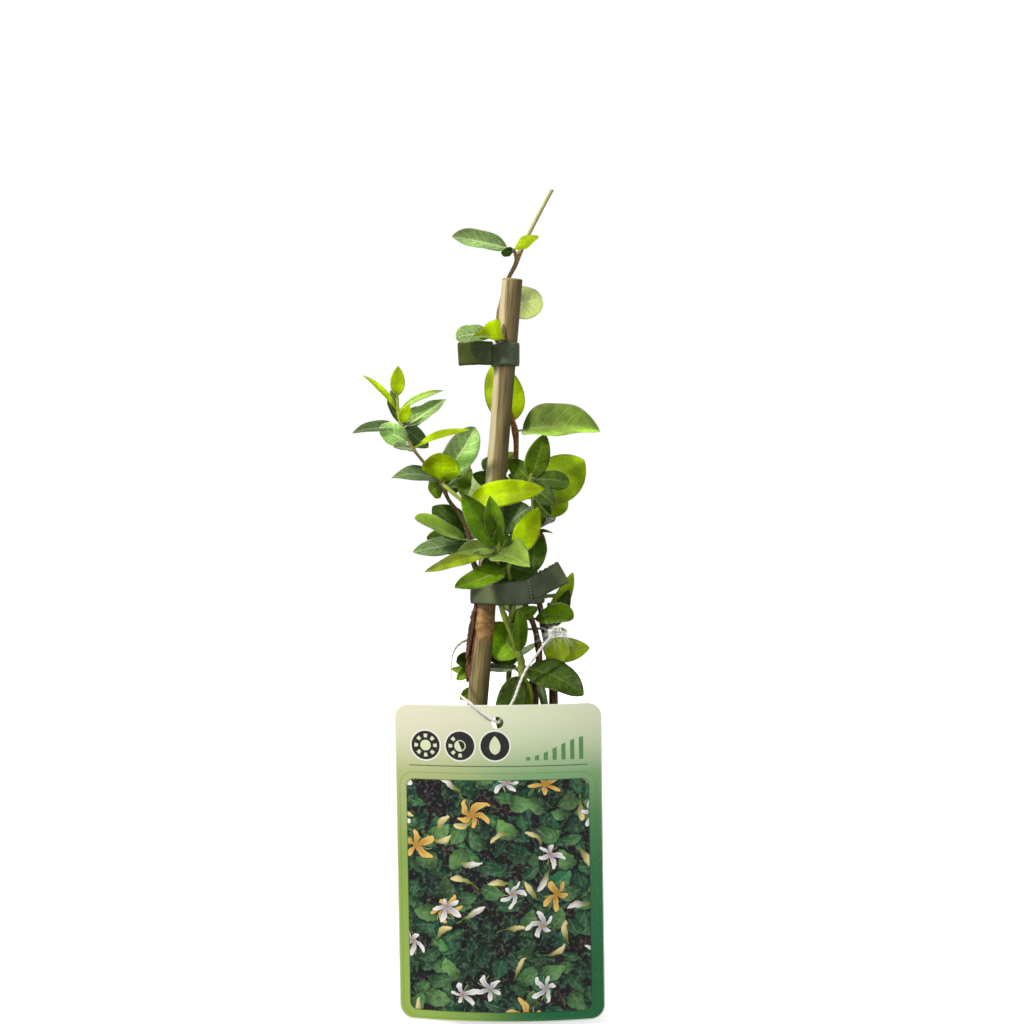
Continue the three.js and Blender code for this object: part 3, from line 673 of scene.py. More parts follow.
def leaf_shape(x: Field, y: Field, length: float, width: Any) -> Field:
    """Gives about the distance out of a leaf shape whose base is at 0, 0 and whose tip is up y.

    Args:
        x: Place across the leaf.
        y: Place along it.
        length: From base to tip.
        width: The half-width where it is widest.

    Returns:
        The distance, below 0 inside.
    """
    s = (y / length).highest(0.0).lowest(1.0)
    highest = 0.374
    half = s**0.6 * (1.0 - s) ** 0.85 * (width / highest)
    return (abs(x) - half).highest((y * -1.0).highest(y - length))


@dataclass(frozen=True)
class Sheet:
    """A printed sheet that is being painted: its places and its colour so far."""

    x: Field
    z: Field
    tone: Field

    def over(self, share: Field, other: Any) -> "Sheet":
        """Lays a share of another colour over the sheet."""
        return Sheet(self.x, self.z, self.tone.mix(share, other))

    def frame(self, middle: Point, half: Point, corner: float) -> Field:
        """Gives the distance to a rounded frame's line, below 0 inside it.

        Args:
            middle: The frame's middle.
            half: Half its width and height.
            corner: The radius of its corners.

        Returns:
            The distance.
        """
        out_x = abs(self.x - middle[0]) - (half[0] - corner)
        out_z = abs(self.z - middle[1]) - (half[1] - corner)
        outside = away(out_x.highest(0.0), out_z.highest(0.0))
        return outside + out_x.highest(out_z).lowest(0.0) - corner

    def scattered(self, pitch: float, shift: float) -> tuple[Field, ...]:
        """Splits the sheet into random cells.

        Args:
            pitch: Usual distance between neighbours.
            shift: Moves the pattern, so that no two layers are alike.

        Returns:
            Place in the cell, across and up, turned at random, and three random numbers.
        """
        x, z = self.x / pitch + shift, self.z / pitch + shift * 1.7
        cell = x.graph.xyz(x, z).cells(1.0, spread=0.8)
        centre_x, centre_z, _ = cell["Position"].parts()
        red, green, blue = cell["Color"].parts()
        near_x, near_z = (x - centre_x) * pitch, (z - centre_z) * pitch
        cos, sin = (red * math.tau).cos(), (red * math.tau).math("SINE")
        return near_x * cos + near_z * sin, near_z * cos - near_x * sin, red, green, blue

    def leaves(self, pitch: float, shift: float, dark: str, light: str) -> "Sheet":
        """Lays scattered leaves with their shadows over the sheet.

        Args:
            pitch: Usual distance between neighbours.
            shift: Moves the pattern.
            dark: Colour of the darkest leaf.
            light: Colour of the lightest.

        Returns:
            The sheet with its leaves.
        """
        across, up, red, green, blue = self.scattered(pitch, shift)
        length = pitch * 0.92
        base = up + length * 0.5
        along = base / length
        bowed = across + along * (along - 1.0) * pitch * (red - 0.5) * 1.3
        off = leaf_shape(bowed, base, length, (green * 0.14 + 0.19) * pitch) + 0.12
        kept = blue.ramp(0.28, 0.29)
        tone = off.graph.mix(green * green, dark, light)
        tone = tone.mix((bowed * (red - 0.5)).ramp(-0.5, 0.6) * 0.5, tone.mix(0.35, "9cc58a"))
        tone = tone.mix(along.ramp(0.65, 0.0) * 0.7, "0a1a16")
        tone = tone.mix(abs(bowed).ramp(0.28, 0.05) * 0.25, "9ccf94")
        return self.over(off.ramp(2.2, -0.2) * kept * 0.75, "0a0d10").over(off.ramp(0.3, -0.3) * kept, tone)

    def blossoms(self, pitch: float, shift: float, dark: str, light: str) -> "Sheet":
        """Lays a few star blossoms of five petals, with their stamens, over the sheet.

        Args:
            pitch: Usual distance between neighbours.
            shift: Moves the pattern.
            dark: Colour of the petals' feet.
            light: Colour of their ends.

        Returns:
            The sheet with its blossoms.
        """
        across, up, red, green, blue = self.scattered(pitch, shift)
        across = across * (red * 0.5 + 1.0)
        radius = away(across, up)
        angle = up.math("ARCTAN2", across) + radius * ((green - 0.5) * 0.22)
        petals = abs((angle * 2.5).cos())
        uneven = (angle + green * math.tau).cos() * 0.22 + 1.0
        rim = (petals**2.2 * 0.8 + 0.2) * uneven * (pitch * 0.33)
        kept = blue.ramp(0.42, 0.44)
        off = radius - rim
        threads = abs((angle * 3.5 + red * 9.0).cos()).ramp(0.16, 0.03)
        threads = threads * (radius - pitch * 0.26 * uneven).ramp(0.4, -0.2) * off.ramp(-0.2, 0.2)
        tone = off.graph.mix((radius / rim).ramp(0.15, 0.95) * petals.ramp(0.3, 0.95), dark, light)
        tone = tone.mix(radius.ramp(pitch * 0.07, pitch * 0.02) * 0.8, "b98a3a")
        shaded = self.over(off.ramp(1.6, -0.3) * kept * 0.65, "0f0d10")
        return shaded.over(threads * kept * 0.75, "cfc98c").over(off.ramp(0.3, -0.25) * kept, tone)

    def buds(self, pitch: float, shift: float, tint: str) -> "Sheet":
        """Lays slim stalked buds over the sheet.

        Args:
            pitch: Usual distance between neighbours.
            shift: Moves the pattern.
            tint: Colour of the buds' tips.

        Returns:
            The sheet with its buds.
        """
        across, up, _, green, blue = self.scattered(pitch, shift)
        length = pitch * 0.6
        base = up + length * 0.5
        along = base / length
        bowed = across + along * (along - 1.0) * pitch * (green - 0.5)
        shut = leaf_shape(bowed, length - base, length, pitch * 0.07)
        ends = (base * -1.0 - pitch * 0.2).highest(base - length)
        off = shut.lowest((abs(bowed) - 0.16).highest(ends))
        tone = off.graph.mix(along.ramp(0.1, 0.8), "77862f", tint)
        tone = tone.mix(bowed.ramp(-0.1, 0.7) * 0.35, "6f6450")
        return self.over(off.ramp(0.25, -0.2) * blue.ramp(0.6, 0.62), tone)


@dataclass(frozen=True)
class PrintFinish(Finish):
    """The label's printed front: soft green card, pictograms, and a panel of leaves and blossoms.

    All places on the card are counted from its middle.
    """

    half: tuple[float, float]
    corner: float
    panel_middle: tuple[float, float] = (-0.5, -14.9)
    panel_half: tuple[float, float] = (41.8, 53.7)
    panel_corner: float = 3.5
    rule_height: float = 45.2
    icon_height: float = 54.6
    icon_radius: float = 6.6
    icon_places: tuple[float, ...] = (-33.0, -17.0, -1.0)

    def picture(self, x: Field, z: Field) -> Field:
        """Fills the panel: dark ground, layer on layer of leaves, then buds and blossoms.

        Args:
            x: Place across the card.
            z: Place up the card.

        Returns:
            The picture's colour.
        """
        graph = x.graph
        plane = graph.xyz(x, z)
        x = x + (plane.noise(0.22) - 0.5) * 3.2
        z = z + (graph.xyz(z, x).noise(0.22) - 0.5) * 3.2
        ground = plane.noise(0.09, 4, 0.8).bands((0.3, "120c12"), (0.55, "231821"), (0.75, "16281f"))
        twig = plane.cells(0.07, "DISTANCE_TO_EDGE")["Distance"]
        sheet = Sheet(x, z, ground.mix(twig.ramp(0.02, 0.008) * 0.8, "6e4a38"))
        for layer in (
            (16.0, 3.1, "0d2f28", "1a5446"),
            (12.0, 7.4, "123f34", "267052"),
            (15.0, 11.9, "144a38", "2f7c50"),
            (10.0, 17.3, "1b5638", "5a964e"),
            (13.0, 23.8, "1b4f34", "74a85a"),
        ):
            sheet = sheet.leaves(*layer)
        gleam = plane.noise(0.5, 4, 0.5)
        sheet = sheet.over(plane.noise(0.045).ramp(0.56, 0.36) * 0.7, "0d1417")
        sheet = sheet.over(gleam.ramp(0.5, 0.75) * 0.3, "8fb58c").over(gleam.ramp(0.5, 0.3) * 0.4, "0c1614")
        sheet = sheet.buds(17.0, 31.2, "efe0a0").blossoms(25.0, 41.7, "b98a3c", "edc66c")
        return sheet.buds(19.0, 53.3, "f6f3ea").blossoms(21.0, 61.4, "a9a8b4", "faf8f4").tone

    def card(self, x: Field, z: Field) -> Field:
        """Gives the soft green ground of the card, deepening to its lower right, with painted light on its
        left and painted shade on its right.

        Args:
            x: Place across the card.
            z: Place up the card.

        Returns:
            The ground's colour.
        """
        down = z.ramp(self.half[1], -self.half[1])
        # painted light and shade: the sunny bands light the card's left side and the shady bands shade its
        # right
        sunny = (0.0, "e6e6ce"), (0.12, "b4bf82"), (0.3, "a2b86a"), (0.45, "90ae54"), (1.0, "9cbc56")
        shady = (0.0, "e6edcc"), (0.12, "88b27c"), (0.28, "5c9058"), (0.5, "387a4c"), (1.0, "206c40")
        swirl = x.graph.xyz(x, z * 0.6).noise(0.03, 2, 0.4)
        return down.bands(*sunny).mix((x + (swirl - 0.5) * 24.0).ramp(-38.0, 22.0), down.bands(*shady))

    def icons(self, sheet: Sheet) -> Sheet:
        """Prints three care pictograms: sun, half shade and water.

        Args:
            sheet: The card so far.

        Returns:
            The card with its pictograms.
        """
        up = sheet.z - self.icon_height
        for number, place in enumerate(self.icon_places):
            across = sheet.x - place
            radius = away(across, up)
            sheet = sheet.over((radius - self.icon_radius).ramp(0.75, 0.55), "f4f6ec")
            sheet = sheet.over((radius - self.icon_radius).ramp(0.1, -0.1), "2c2a2a")
            if number == 2:
                mark = leaf_shape(across, up + 3.9, 8.4, 2.5).ramp(0.15, -0.1)
            else:
                rays = abs((up.math("ARCTAN2", across) * 4.0).cos()).ramp(0.72, 0.8)
                mark = (abs(radius - 4.4).ramp(0.95, 0.75) * rays).highest(radius.ramp(2.55, 2.35))
            if number == 1:
                lit = mark * (across + up * 0.4).ramp(0.15, -0.05)
                mark = lit.highest(abs(radius - 2.4).ramp(0.3, 0.15))
            sheet = sheet.over(mark, "dfe9c4")
        return sheet

    def gauge(self, sheet: Sheet) -> Sheet:
        """Prints the rule under the pictograms and a plain growing-height scale beside them.

        Args:
            sheet: The card so far.

        Returns:
            The card with its rule and scale.
        """
        x = sheet.x
        line = abs(sheet.z - self.rule_height).ramp(0.32, 0.16) * abs(x).ramp(41.0, 40.6)
        up = sheet.z - (self.rule_height + 2.6)
        bars = abs((x / 4.0).math("FRACT") - 0.5).ramp(0.26, 0.22) * abs(x - 26.0).ramp(14.2, 13.9)
        bars = bars * (up - x.ramp(13.0, 41.0) * 9.0 - 1.5).ramp(0.15, -0.15) * up.ramp(-0.1, 0.1)
        return sheet.over(line * 0.85, "3c4a35").over(bars * 0.9, "4c8a44")

    def inputs(self, graph: Graph) -> dict[str, Any]:
        """Prints the card, the pictograms, the scale and the framed panel.

        Args:
            graph: The material's nodes.

        Returns:
            The shader's inputs by name.
        """
        x, z, _ = graph.uv("print").parts()
        sheet = self.gauge(self.icons(Sheet(x, z, self.card(x, z))))
        off = sheet.frame(self.panel_middle, self.panel_half, self.panel_corner)
        sheet = sheet.over(abs(off - 3.2).ramp(0.35, 0.1) * 0.35, "4f7d4a")
        sheet = sheet.over(off.ramp(0.12, -0.12), self.picture(x, z))
        sheet = sheet.over(abs(off).ramp(0.35, 0.15) * 0.6, "22402c")
        rim = sheet.frame((0.0, 0.0), self.half, self.corner)
        dust = graph.xyz(x, z).noise(0.7, 5, 0.5)
        sheet = sheet.over(rim.ramp(-0.75, -0.35) * 0.85, "eef2e2")
        sheet = sheet.over(dust.ramp(0.58, 0.8) * 0.12, "ffffff")
        return {
            "Base Color": sheet.tone,
            "Roughness": dust * 0.3 + 0.25,
            "Specular IOR Level": 0.3,
            "Coat Weight": 0.12,
            "Coat Roughness": 0.25,
            "Normal": dust.bump(0.00006),
        }


LEAF_HAIR = HairFinish("leaf_hair", "c2cf8c", 0.5)
COTTON = HairFinish("cotton_fibre", "e9e9e6", 0.35)
STEM_SURFACE = StemFinish("stem_skin")
UPPER_TAPE = TapeFinish("tape_dark_green", "3a4516", "566228", "788650")
# painted sheen: a paler copy of the green tape, for the upper tie's band round the cane
PAINTED_SHEEN_TAPE = TapeFinish("tape_green_painted_sheen", "515b40", "79836a", "a6ad92")
LOWER_TAPE = TapeFinish("tape_grey_green", "4b5338", "667050", "848b70")
THREAD = ThreadFinish("string_thread")
CRIMP = PlainFinish("tape_crimp", "c9cdc4", "9aa093", 900, 0.00005, 0.4)
POT_PLASTIC = PlainFinish("pot_plastic", "17191a", "2a2c2b", 900, 0.00012, 0.48)
PEAT = PlainFinish("soil_peat", "1d120b", "4a3322", 900, 0.0008, 0.95)
CRUMB = PlainFinish("soil_crumb", "2a1a10", "59402b", 600, 0.0005, 0.95)
PERLITE = PlainFinish("soil_perlite", "e4e2da", "bcb8ac", 1400, 0.0003, 0.9)
BARK_STRIP = PlainFinish("bark_strip", "3d2416", "7d5237", 1100, 0.0004, 0.8)
CARD_BACK = PlainFinish("label_back", "dbe3c8", "cfdab9", 500, 0.00004, 0.42, coat=0.2)
CARD_EDGE = PlainFinish("label_edge", "f2f3ea", "dfe3d2", 900, 0.00004, 0.45)
STUDIO = StudioFinish("studio_floor")


# ---- meshes


def shown(name: str, mesh: bpy.types.ID) -> Piece:
    """Puts a mesh in the scene as an object at the origin.

    Args:
        name: The object's name.
        mesh: The mesh, light or camera that it holds.

    Returns:
        The object.
    """
    made = bpy.data.objects.new(name, mesh)
    bpy.context.scene.collection.objects.link(made)
    return made


class Mesh:
    """Gathers points, lines, faces and what is painted on them, and makes one object of them."""

    def __init__(self) -> None:
        """Starts empty."""
        self.points: list[Array] = []
        self.edges: list[tuple[int, int]] = []
        self.faces: Faces = []
        self.slots: list[int] = []
        self.paint: dict[str, list[Array]] = {}
        self.count = 0

    def add(self, points: Array, faces: Faces | tuple[()] = (), slot: int = 0, **paint: Array) -> "Mesh":
        """Adds a part.

        Args:
            points: One row of x, y, z for each point.
            faces: Point numbers within this part, turning anticlockwise seen from outside.
            slot: Which of the object's finishes the part takes.
            **paint: A number, a map place of two or a vector of three for each point.

        Returns:
            This mesh.
        """
        self.points.append(points)
        self.faces += [[self.count + i for i in face] for face in faces]
        self.slots += [slot] * len(faces)
        for name, values in paint.items():
            self.paint.setdefault(name, []).append(values)
        self.count += len(points)
        return self

    def line(self, rows: Array, **paint: Array) -> "Mesh":
        """Adds a line through rows of x, y, z and radius."""
        self.edges += [(self.count + i, self.count + i + 1) for i in range(len(rows) - 1)]
        return self.add(rows[:, :3], thickness=rows[:, 3], **paint)

    def made(self, name: str = "guide", *finishes: Finish, scale: float = MILLIMETRE) -> Piece:
        """Makes the object, at the origin, with its paint as maps and attributes.

        Args:
            name: The object's name.
            *finishes: What its parts are made of.
            scale: What its sizes are multiplied by; a guide for a tree stays in millimetres, at 1.

        Returns:
            The object.
        """
        mesh = bpy.data.meshes.new(name)
        mesh.from_pydata((np.concatenate(self.points) * scale).tolist(), self.edges, self.faces)
        for finish in finishes:
            mesh.materials.append(finish.material())
        mesh.polygons.foreach_set("material_index", self.slots)
        corners = np.empty(len(mesh.loops), np.int32)
        mesh.loops.foreach_get("vertex_index", corners)
        for label, parts in self.paint.items():
            values = np.concatenate(parts).astype(np.float32)
            if values.size == 2 * len(values):
                mesh.uv_layers.new(name=label).data.foreach_set("uv", values[corners].ravel())
            else:
                kind, key = ("FLOAT_VECTOR", "vector") if values.ndim == 2 else ("FLOAT", "value")
                mesh.attributes.new(label, kind, "POINT").data.foreach_set(key, values.ravel())
        mesh.shade_smooth()
        mesh.update()
        return shown(name, mesh)


def skin_faces(rings: int, columns: int, closed: bool = False) -> Faces:
    """Gives the faces over a row of closed rings.

    Args:
        rings: How many rings there are.
        columns: Points on each ring, turning anticlockwise seen from the last ring's side.
        closed: Whether the last ring joins the first; if not, both ends are capped.

    Returns:
        Four-sided faces and, on an open row, the two caps.
    """
    faces = []
    nearby = [(k, (k + 1) % columns) for k in range(columns)]
    for i in range(rings if closed else rings - 1):
        low, high = i * columns, (i + 1) % rings * columns
        faces += [[low + k, low + after, high + after, high + k] for k, after in nearby]
    if not closed:
        faces += [list(range(columns))[::-1], [(rings - 1) * columns + k for k in range(columns)]]
    return faces


def upright_rod(rows: Array, sides: int) -> Part:
    """Gives a round rod through rows of x, y, z and radius, with level rings."""
    ring = np.column_stack([circle(sides), np.zeros(sides)])
    return np.concatenate([ring * row[3] + row[:3] for row in rows]), skin_faces(len(rows), sides)


def lathe(profile: Array, sides: int) -> Part:
    """Turns an outline of radius and height, from its low middle outwards, about the upright axis."""
    return upright_rod(np.column_stack([np.zeros((len(profile), 2)), profile[:, ::-1]]), sides)


@dataclass(frozen=True)
class Route:
    """A smooth line through given rows, such as x, y, z and radius."""

    rows: tuple[Point, ...]
    closed: bool = False

    def at(self, places: Array | float) -> Array:
        """Gives the rows at places counted in points, as a Catmull-Rom curve.

        Args:
            places: Places, counted in points.

        Returns:
            One row for each place.
        """
        rows = np.asarray(self.rows, float)
        spans = len(rows) if self.closed else len(rows) - 1
        ends = (rows[-1], rows[:2]) if self.closed else (2 * rows[0] - rows[1], 2 * rows[-1] - rows[-2])
        rows = np.vstack([ends[0], rows, ends[1]])
        places = np.atleast_1d(places)
        first = np.clip(places.astype(int), 0, spans - 1)
        t = (places - first)[:, None]
        a, b, c, d = (rows[first + i] for i in range(4))
        return b + ((c - a) * t + (2 * a - 5 * b + 4 * c - d) * t**2 + (3 * b - a - 3 * c + d) * t**3) / 2

    def even(self, step: float) -> tuple[Array, Array]:
        """Gives rows about a step apart along the line, and their places.

        Args:
            step: The usual distance between rows.

        Returns:
            The rows, and their places.
        """
        spans = len(self.rows) if self.closed else len(self.rows) - 1
        places = np.linspace(0, spans, spans * 24 + 1)
        steps = np.linalg.norm(np.diff(self.at(places)[:, :3], axis=0), axis=1)
        gone = np.concatenate([[0], np.cumsum(steps)])
        wanted = np.linspace(0, gone[-1], max(2, round(gone[-1] / step)) + 1)
        found = np.interp(wanted[:-1] if self.closed else wanted, gone, places)
        return self.at(found), found


# share of a line's radius at which fibres are rooted in it
ROOTED_AT = 0.92


def rooted(rows: Array, picked: Array, draw: Any) -> tuple[Array, Array, Array]:
    """Gives random places round a line where fibres stand.

    Args:
        rows: The line's x, y, z and radius.
        picked: Numbers of the rows at which they stand.
        draw: Random numbers.

    Returns:
        The places, and the ways out from the line and along it there.
    """
    along = unit(rows[picked + 1, :3] - rows[picked - 1, :3])
    out = unit(np.cross(along, draw.normal(size=along.shape)))
    return rows[picked, :3] + out * rows[picked, 3:] * ROOTED_AT, out, along


# ---- geometry node trees


class GrowTree(ABC):
    """A Geometry Nodes tree with named inputs that grows a guide in millimetres into a mesh."""

    def __init__(self) -> None:
        """Builds the tree, with its geometry and its finish as the first two inputs."""
        self.group = bpy.data.node_groups.new(type(self).__name__, "GeometryNodeTree")
        self.graph = Graph(self.group)
        self.entry = self.group.nodes.new("NodeGroupInput")
        self.keys: dict[str, str] = {}
        guide, finish = self.take("Geometry", "Guide") + self.take("Material", "Finish")
        self.group.interface.new_socket("Geometry", in_out="OUTPUT", socket_type="NodeSocketGeometry")
        whole = self.graph.geo("RealizeInstances", {"Geometry": self.body(guide)})
        soft = self.graph.geo("SetShadeSmooth", {"Geometry": whole})
        done = self.graph.geo("SetMaterial", {"Geometry": soft, "Material": finish})
        self.graph.node("NodeGroupOutput", {0: done})

    def take(self, kind: str, *names: str) -> list[Field]:
        """Adds named inputs of one kind to the tree.

        Args:
            kind: The inputs' type.
            *names: Their names.

        Returns:
            One field for each.
        """
        for name in names:
            socket = self.group.interface.new_socket(name, in_out="INPUT", socket_type="NodeSocket" + kind)
            self.keys[name] = socket.identifier
        return [Field(self.graph, self.entry.outputs[name]) for name in names]

    def named(self, name: str, kind: str = "FLOAT") -> Field:
        """Reads an attribute of the guide."""
        return self.graph.geo("InputNamedAttribute", {"Name": name}, data_type=kind)

    def stood(self, points: Field, copy: Field, turn: Field, scale: Any = (1, 1, 1)) -> Field:
        """Stands a turned and scaled copy on each point."""
        inputs = {"Points": points, "Instance": copy, "Rotation": turn, "Scale": scale}
        return self.graph.geo("InstanceOnPoints", inputs)

    def swollen(self, skin: Field, height: Field) -> Field:
        """Moves a skin's points outwards by a height."""
        offset = self.graph.geo("InputNormal").vector("SCALE", scale=height)
        return self.graph.geo("SetPosition", {"Geometry": skin, "Offset": offset})

    @abstractmethod
    def body(self, guide: Field) -> Field:
        """Adds the nodes between the guide and the finished geometry.

        Args:
            guide: The geometry that the tree reads.

        Returns:
            The grown geometry.
        """

    def grow(self, guide: Mesh, name: str, finish: Finish, **sizes: Any) -> Piece:
        """Grows a guide.

        Args:
            guide: What the tree reads.
            name: The new piece's name.
            finish: What the piece is made of.
            **sizes: The tree's other inputs.

        Returns:
            The finished piece as a plain mesh in metres.
        """
        made = guide.made(scale=1)
        modifier = made.modifiers.new(name, "NODES")
        modifier.node_group = self.group
        for label, value in {"Finish": finish.material(), **sizes}.items():
            modifier[self.keys[label]] = value
        scene = bpy.context.evaluated_depsgraph_get()
        grown = made.evaluated_get(scene)
        mesh = bpy.data.meshes.new_from_object(grown, preserve_all_data_layers=True, depsgraph=scene)
        made.modifiers.remove(modifier)
        bpy.data.objects.remove(made)
        mesh.transform(Matrix.Scale(MILLIMETRE, 4))
        mesh.name = name
        return shown(name, mesh)


class TubeTree(GrowTree):
    """Skins guide lines with a round or lobed tube that may twist, and roughens it by its bark."""

    def body(self, guide: Field) -> Field:
        """Sweeps a lobed ring along the twisted line and lifts its bark.

        Args:
            guide: The geometry that the tree reads.

        Returns:
            The grown geometry.
        """
        graph = self.graph
        (sides,) = self.take("Int", "Sides")
        lobes, depth, twist, relief, grain = self.take("Float", "Lobes", "Depth", "Twist", "Relief", "Grain")
        line = graph.geo("MeshToCurve", {"Mesh": guide})
        length = graph.geo("SplineParameter", at="Length")
        line = graph.geo("SetCurveTilt", {"Curve": line, "Tilt": length * twist})
        ring = graph.geo("CurvePrimitiveCircle", {"Resolution": sides, "Radius": 1.0})
        x, y, _ = graph.geo("InputPosition").parts()
        swell = (y.math("ARCTAN2", x) * lobes).cos()
        groove = {"Geometry": ring, "Name": "groove", "Value": 0.5 - swell * 0.5}
        ring = graph.geo("StoreNamedAttribute", groove)
        share = swell * depth + 1.0
        lobed = {"Geometry": ring, "Position": graph.xyz(x * share, y * share)}
        ring = graph.geo("SetPosition", lobed)
        inputs = {"Curve": line, "Profile Curve": ring, "Scale": self.named("thickness"), "Fill Caps": True}
        skin = graph.geo("CurveToMesh", inputs)
        lumps = graph.geo("InputPosition").noise(grain, 3, 0.3, (1, 1, 0.3))
        return self.swollen(skin, (lumps - 0.5) * relief * self.named("bark"))


class BristleTree(GrowTree):
    """Sets a slim three-sided spike on each guide point, pointing the way that the point says."""

    def body(self, guide: Field) -> Field:
        """Turns and stretches a spike on each point.

        Args:
            guide: The geometry that the tree reads.

        Returns:
            The grown geometry.
        """
        graph = self.graph
        (thickness,), (seed,) = self.take("Float", "Thickness"), self.take("Int", "Seed")
        sizes = {"Vertices": 3, "Radius Top": 0.0, "Radius Bottom": 1.0, "Depth": 1.0}
        spike = graph.geo("MeshCone", sizes)
        way = {"Vector": self.named("way", "FLOAT_VECTOR")}
        turn = graph.out("FunctionNodeAlignRotationToVector", way, axis="Z")
        spread = graph.out("FunctionNodeRandomValue", {2: 0.55, 3: 1.25, "Seed": seed}, 1, data_type="FLOAT")
        return self.stood(guide, spike, turn, graph.xyz(thickness, thickness, self.named("reach") * spread))


class CrumbTree(GrowTree):
    """Strews lumps of random size over a guide surface and dents each one."""

    def body(self, guide: Field) -> Field:
        """Stands turned lumps on random points, then dents them.

        Args:
            guide: The geometry that the tree reads.

        Returns:
            The grown geometry.
        """
        graph = self.graph
        density, small, large, flatness = self.take("Float", "Density", "Small", "Large", "Flatness")
        (seed,) = self.take("Int", "Seed")
        sown = {"Mesh": guide, "Density": density, "Seed": seed}
        points = graph.geo("DistributePointsOnFaces", sown)
        lump = graph.geo("MeshIcoSphere", {"Radius": 1.0, "Subdivisions": 2})
        draw = graph.out("FunctionNodeRandomValue", {2: 0.0, 3: 1.0, "Seed": seed}, 1, data_type="FLOAT")
        size = small + (large - small) * draw * draw
        any_way = {0: (0, 0, 0), 1: (math.tau, math.tau, math.tau), "Seed": seed}
        turn = graph.out("FunctionNodeRandomValue", any_way, data_type="FLOAT_VECTOR")
        turn = graph.out("FunctionNodeEulerToRotation", {0: turn})
        heap = self.stood(points, lump, turn, graph.xyz(size, size * flatness, size))
        heap = graph.geo("RealizeInstances", {"Geometry": heap})
        dents = graph.geo("InputPosition").noise(0.9)
        return self.swollen(heap, (dents - 0.5) * (large * 0.9))


class RibTree(GrowTree):
    """Repeats a guide piece evenly round the upright axis and keeps the first."""

    def body(self, guide: Field) -> Field:
        """Stands a turned copy for each of the count.

        Args:
            guide: The geometry that the tree reads.

        Returns:
            The grown geometry.
        """
        (count,) = self.take("Int", "Count")
        hub = self.graph.geo("MeshCircle", {"Vertices": count, "Radius": 0.0})
        angle = self.graph.geo("InputIndex") / count * math.tau
        turn = self.graph.out("FunctionNodeEulerToRotation", {0: self.graph.xyz(0.0, 0.0, angle)})
        return self.stood(hub, guide, turn)


class StitchTree(GrowTree):
    """Sets short rounded stitches along guide lines."""

    def body(self, guide: Field) -> Field:
        """Stands beads along the line, each stretched along it.

        Args:
            guide: The geometry that the tree reads.

        Returns:
            The grown geometry.
        """
        graph = self.graph
        (count,), (length, thick) = self.take("Int", "Count"), self.take("Float", "Length", "Thickness")
        line = graph.geo("MeshToCurve", {"Mesh": guide})
        line = graph.geo("ResampleCurve", {"Curve": line, "Count": count})
        tangent = {"Vector": graph.geo("InputTangent")}
        turn = graph.out("FunctionNodeAlignRotationToVector", tangent, axis="Z")
        bead = graph.geo("MeshUVSphere", {"Segments": 10, "Rings": 8, "Radius": 1.0})
        return self.stood(line, bead, turn, graph.xyz(thick * 1.3, thick, length * 0.5))


def settle(piece: Piece, node: str) -> Piece:
    """Puts a finished piece on the object's one body and in its node's place.

    Args:
        piece: The piece.
        node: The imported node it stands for.

    Returns:
        The same piece.
    """
    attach(piece, BODY)
    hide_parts(node)
    LOG.info("%s: %d faces", piece.name, len(piece.data.polygons))
    return piece


# ---- the plant


class Form(Enum):
    """Outlines of a blade: its half-width follows s^a (1 - s)^b, scaled to 1 at its widest."""

    OVATE = (0.5, 0.72)
    LANCE = (0.7, 0.9)
    ROUND = (0.45, 0.5)
    DELTOID = (0.33, 0.95)
    BLUNT = (0.62, 0.42)
    WEDGE = (0.12, 1.0)
    OVAL = (0.6, 0.6)

    def half_width(self, s: Array) -> Array:
        """Gives the half-width at places from base to tip, as a share of the widest.

        Args:
            s: Places, 0 to 1.

        Returns:
            The half-widths.
        """
        a, b = self.value
        widest = a / (a + b)
        return s**a * (1 - s) ** b / (widest**a * (1 - widest) ** b)


class Facing(Enum):
    """The way in which the upper side of a leaf looks."""

    FRONT = (0.0, -1.0, 0.15)
    UP_FRONT = (0.0, -0.75, 0.65)
    UP_BACK = (0.0, 0.35, 1.0)
    BACK = (0.0, 1.0, 0.2)
    DOWN_FRONT = (0.0, -0.8, -0.5)
    FRONT_LEFT = (-0.6, -0.8, 0.2)
    FRONT_RIGHT = (0.6, -0.8, 0.2)


OVATE, LANCE, ROUND, DELTOID, BLUNT, WEDGE, OVAL = Form
FRONT, UP_FRONT, UP_BACK, BACK, DOWN_FRONT, FRONT_LEFT, FRONT_RIGHT = Facing


@dataclass(frozen=True)
class Leaf:
    """A leaf: where it leaves its shoot, where its tip is, and how its blade is bent.

    Place counts the shoot's points. Arch lifts the midrib, sweep bows it sideways, fold raises
    both halves in a V and twist turns the blade from base to tip. Left, right and end paint
    light and shade: they brighten or darken each half and the outer part.
    """

    place: float
    tip: Point
    width: float
    tone: Tone
    facing: Facing = Facing.FRONT
    form: Form = Form.OVATE
    arch: float = 0.0
    sweep: float = 0.0
    fold: float = 5.0
    twist: float = 0.0
    left: float = 1.0
    right: float = 1.0
    end: float = 1.0
    shoot: str = "main"


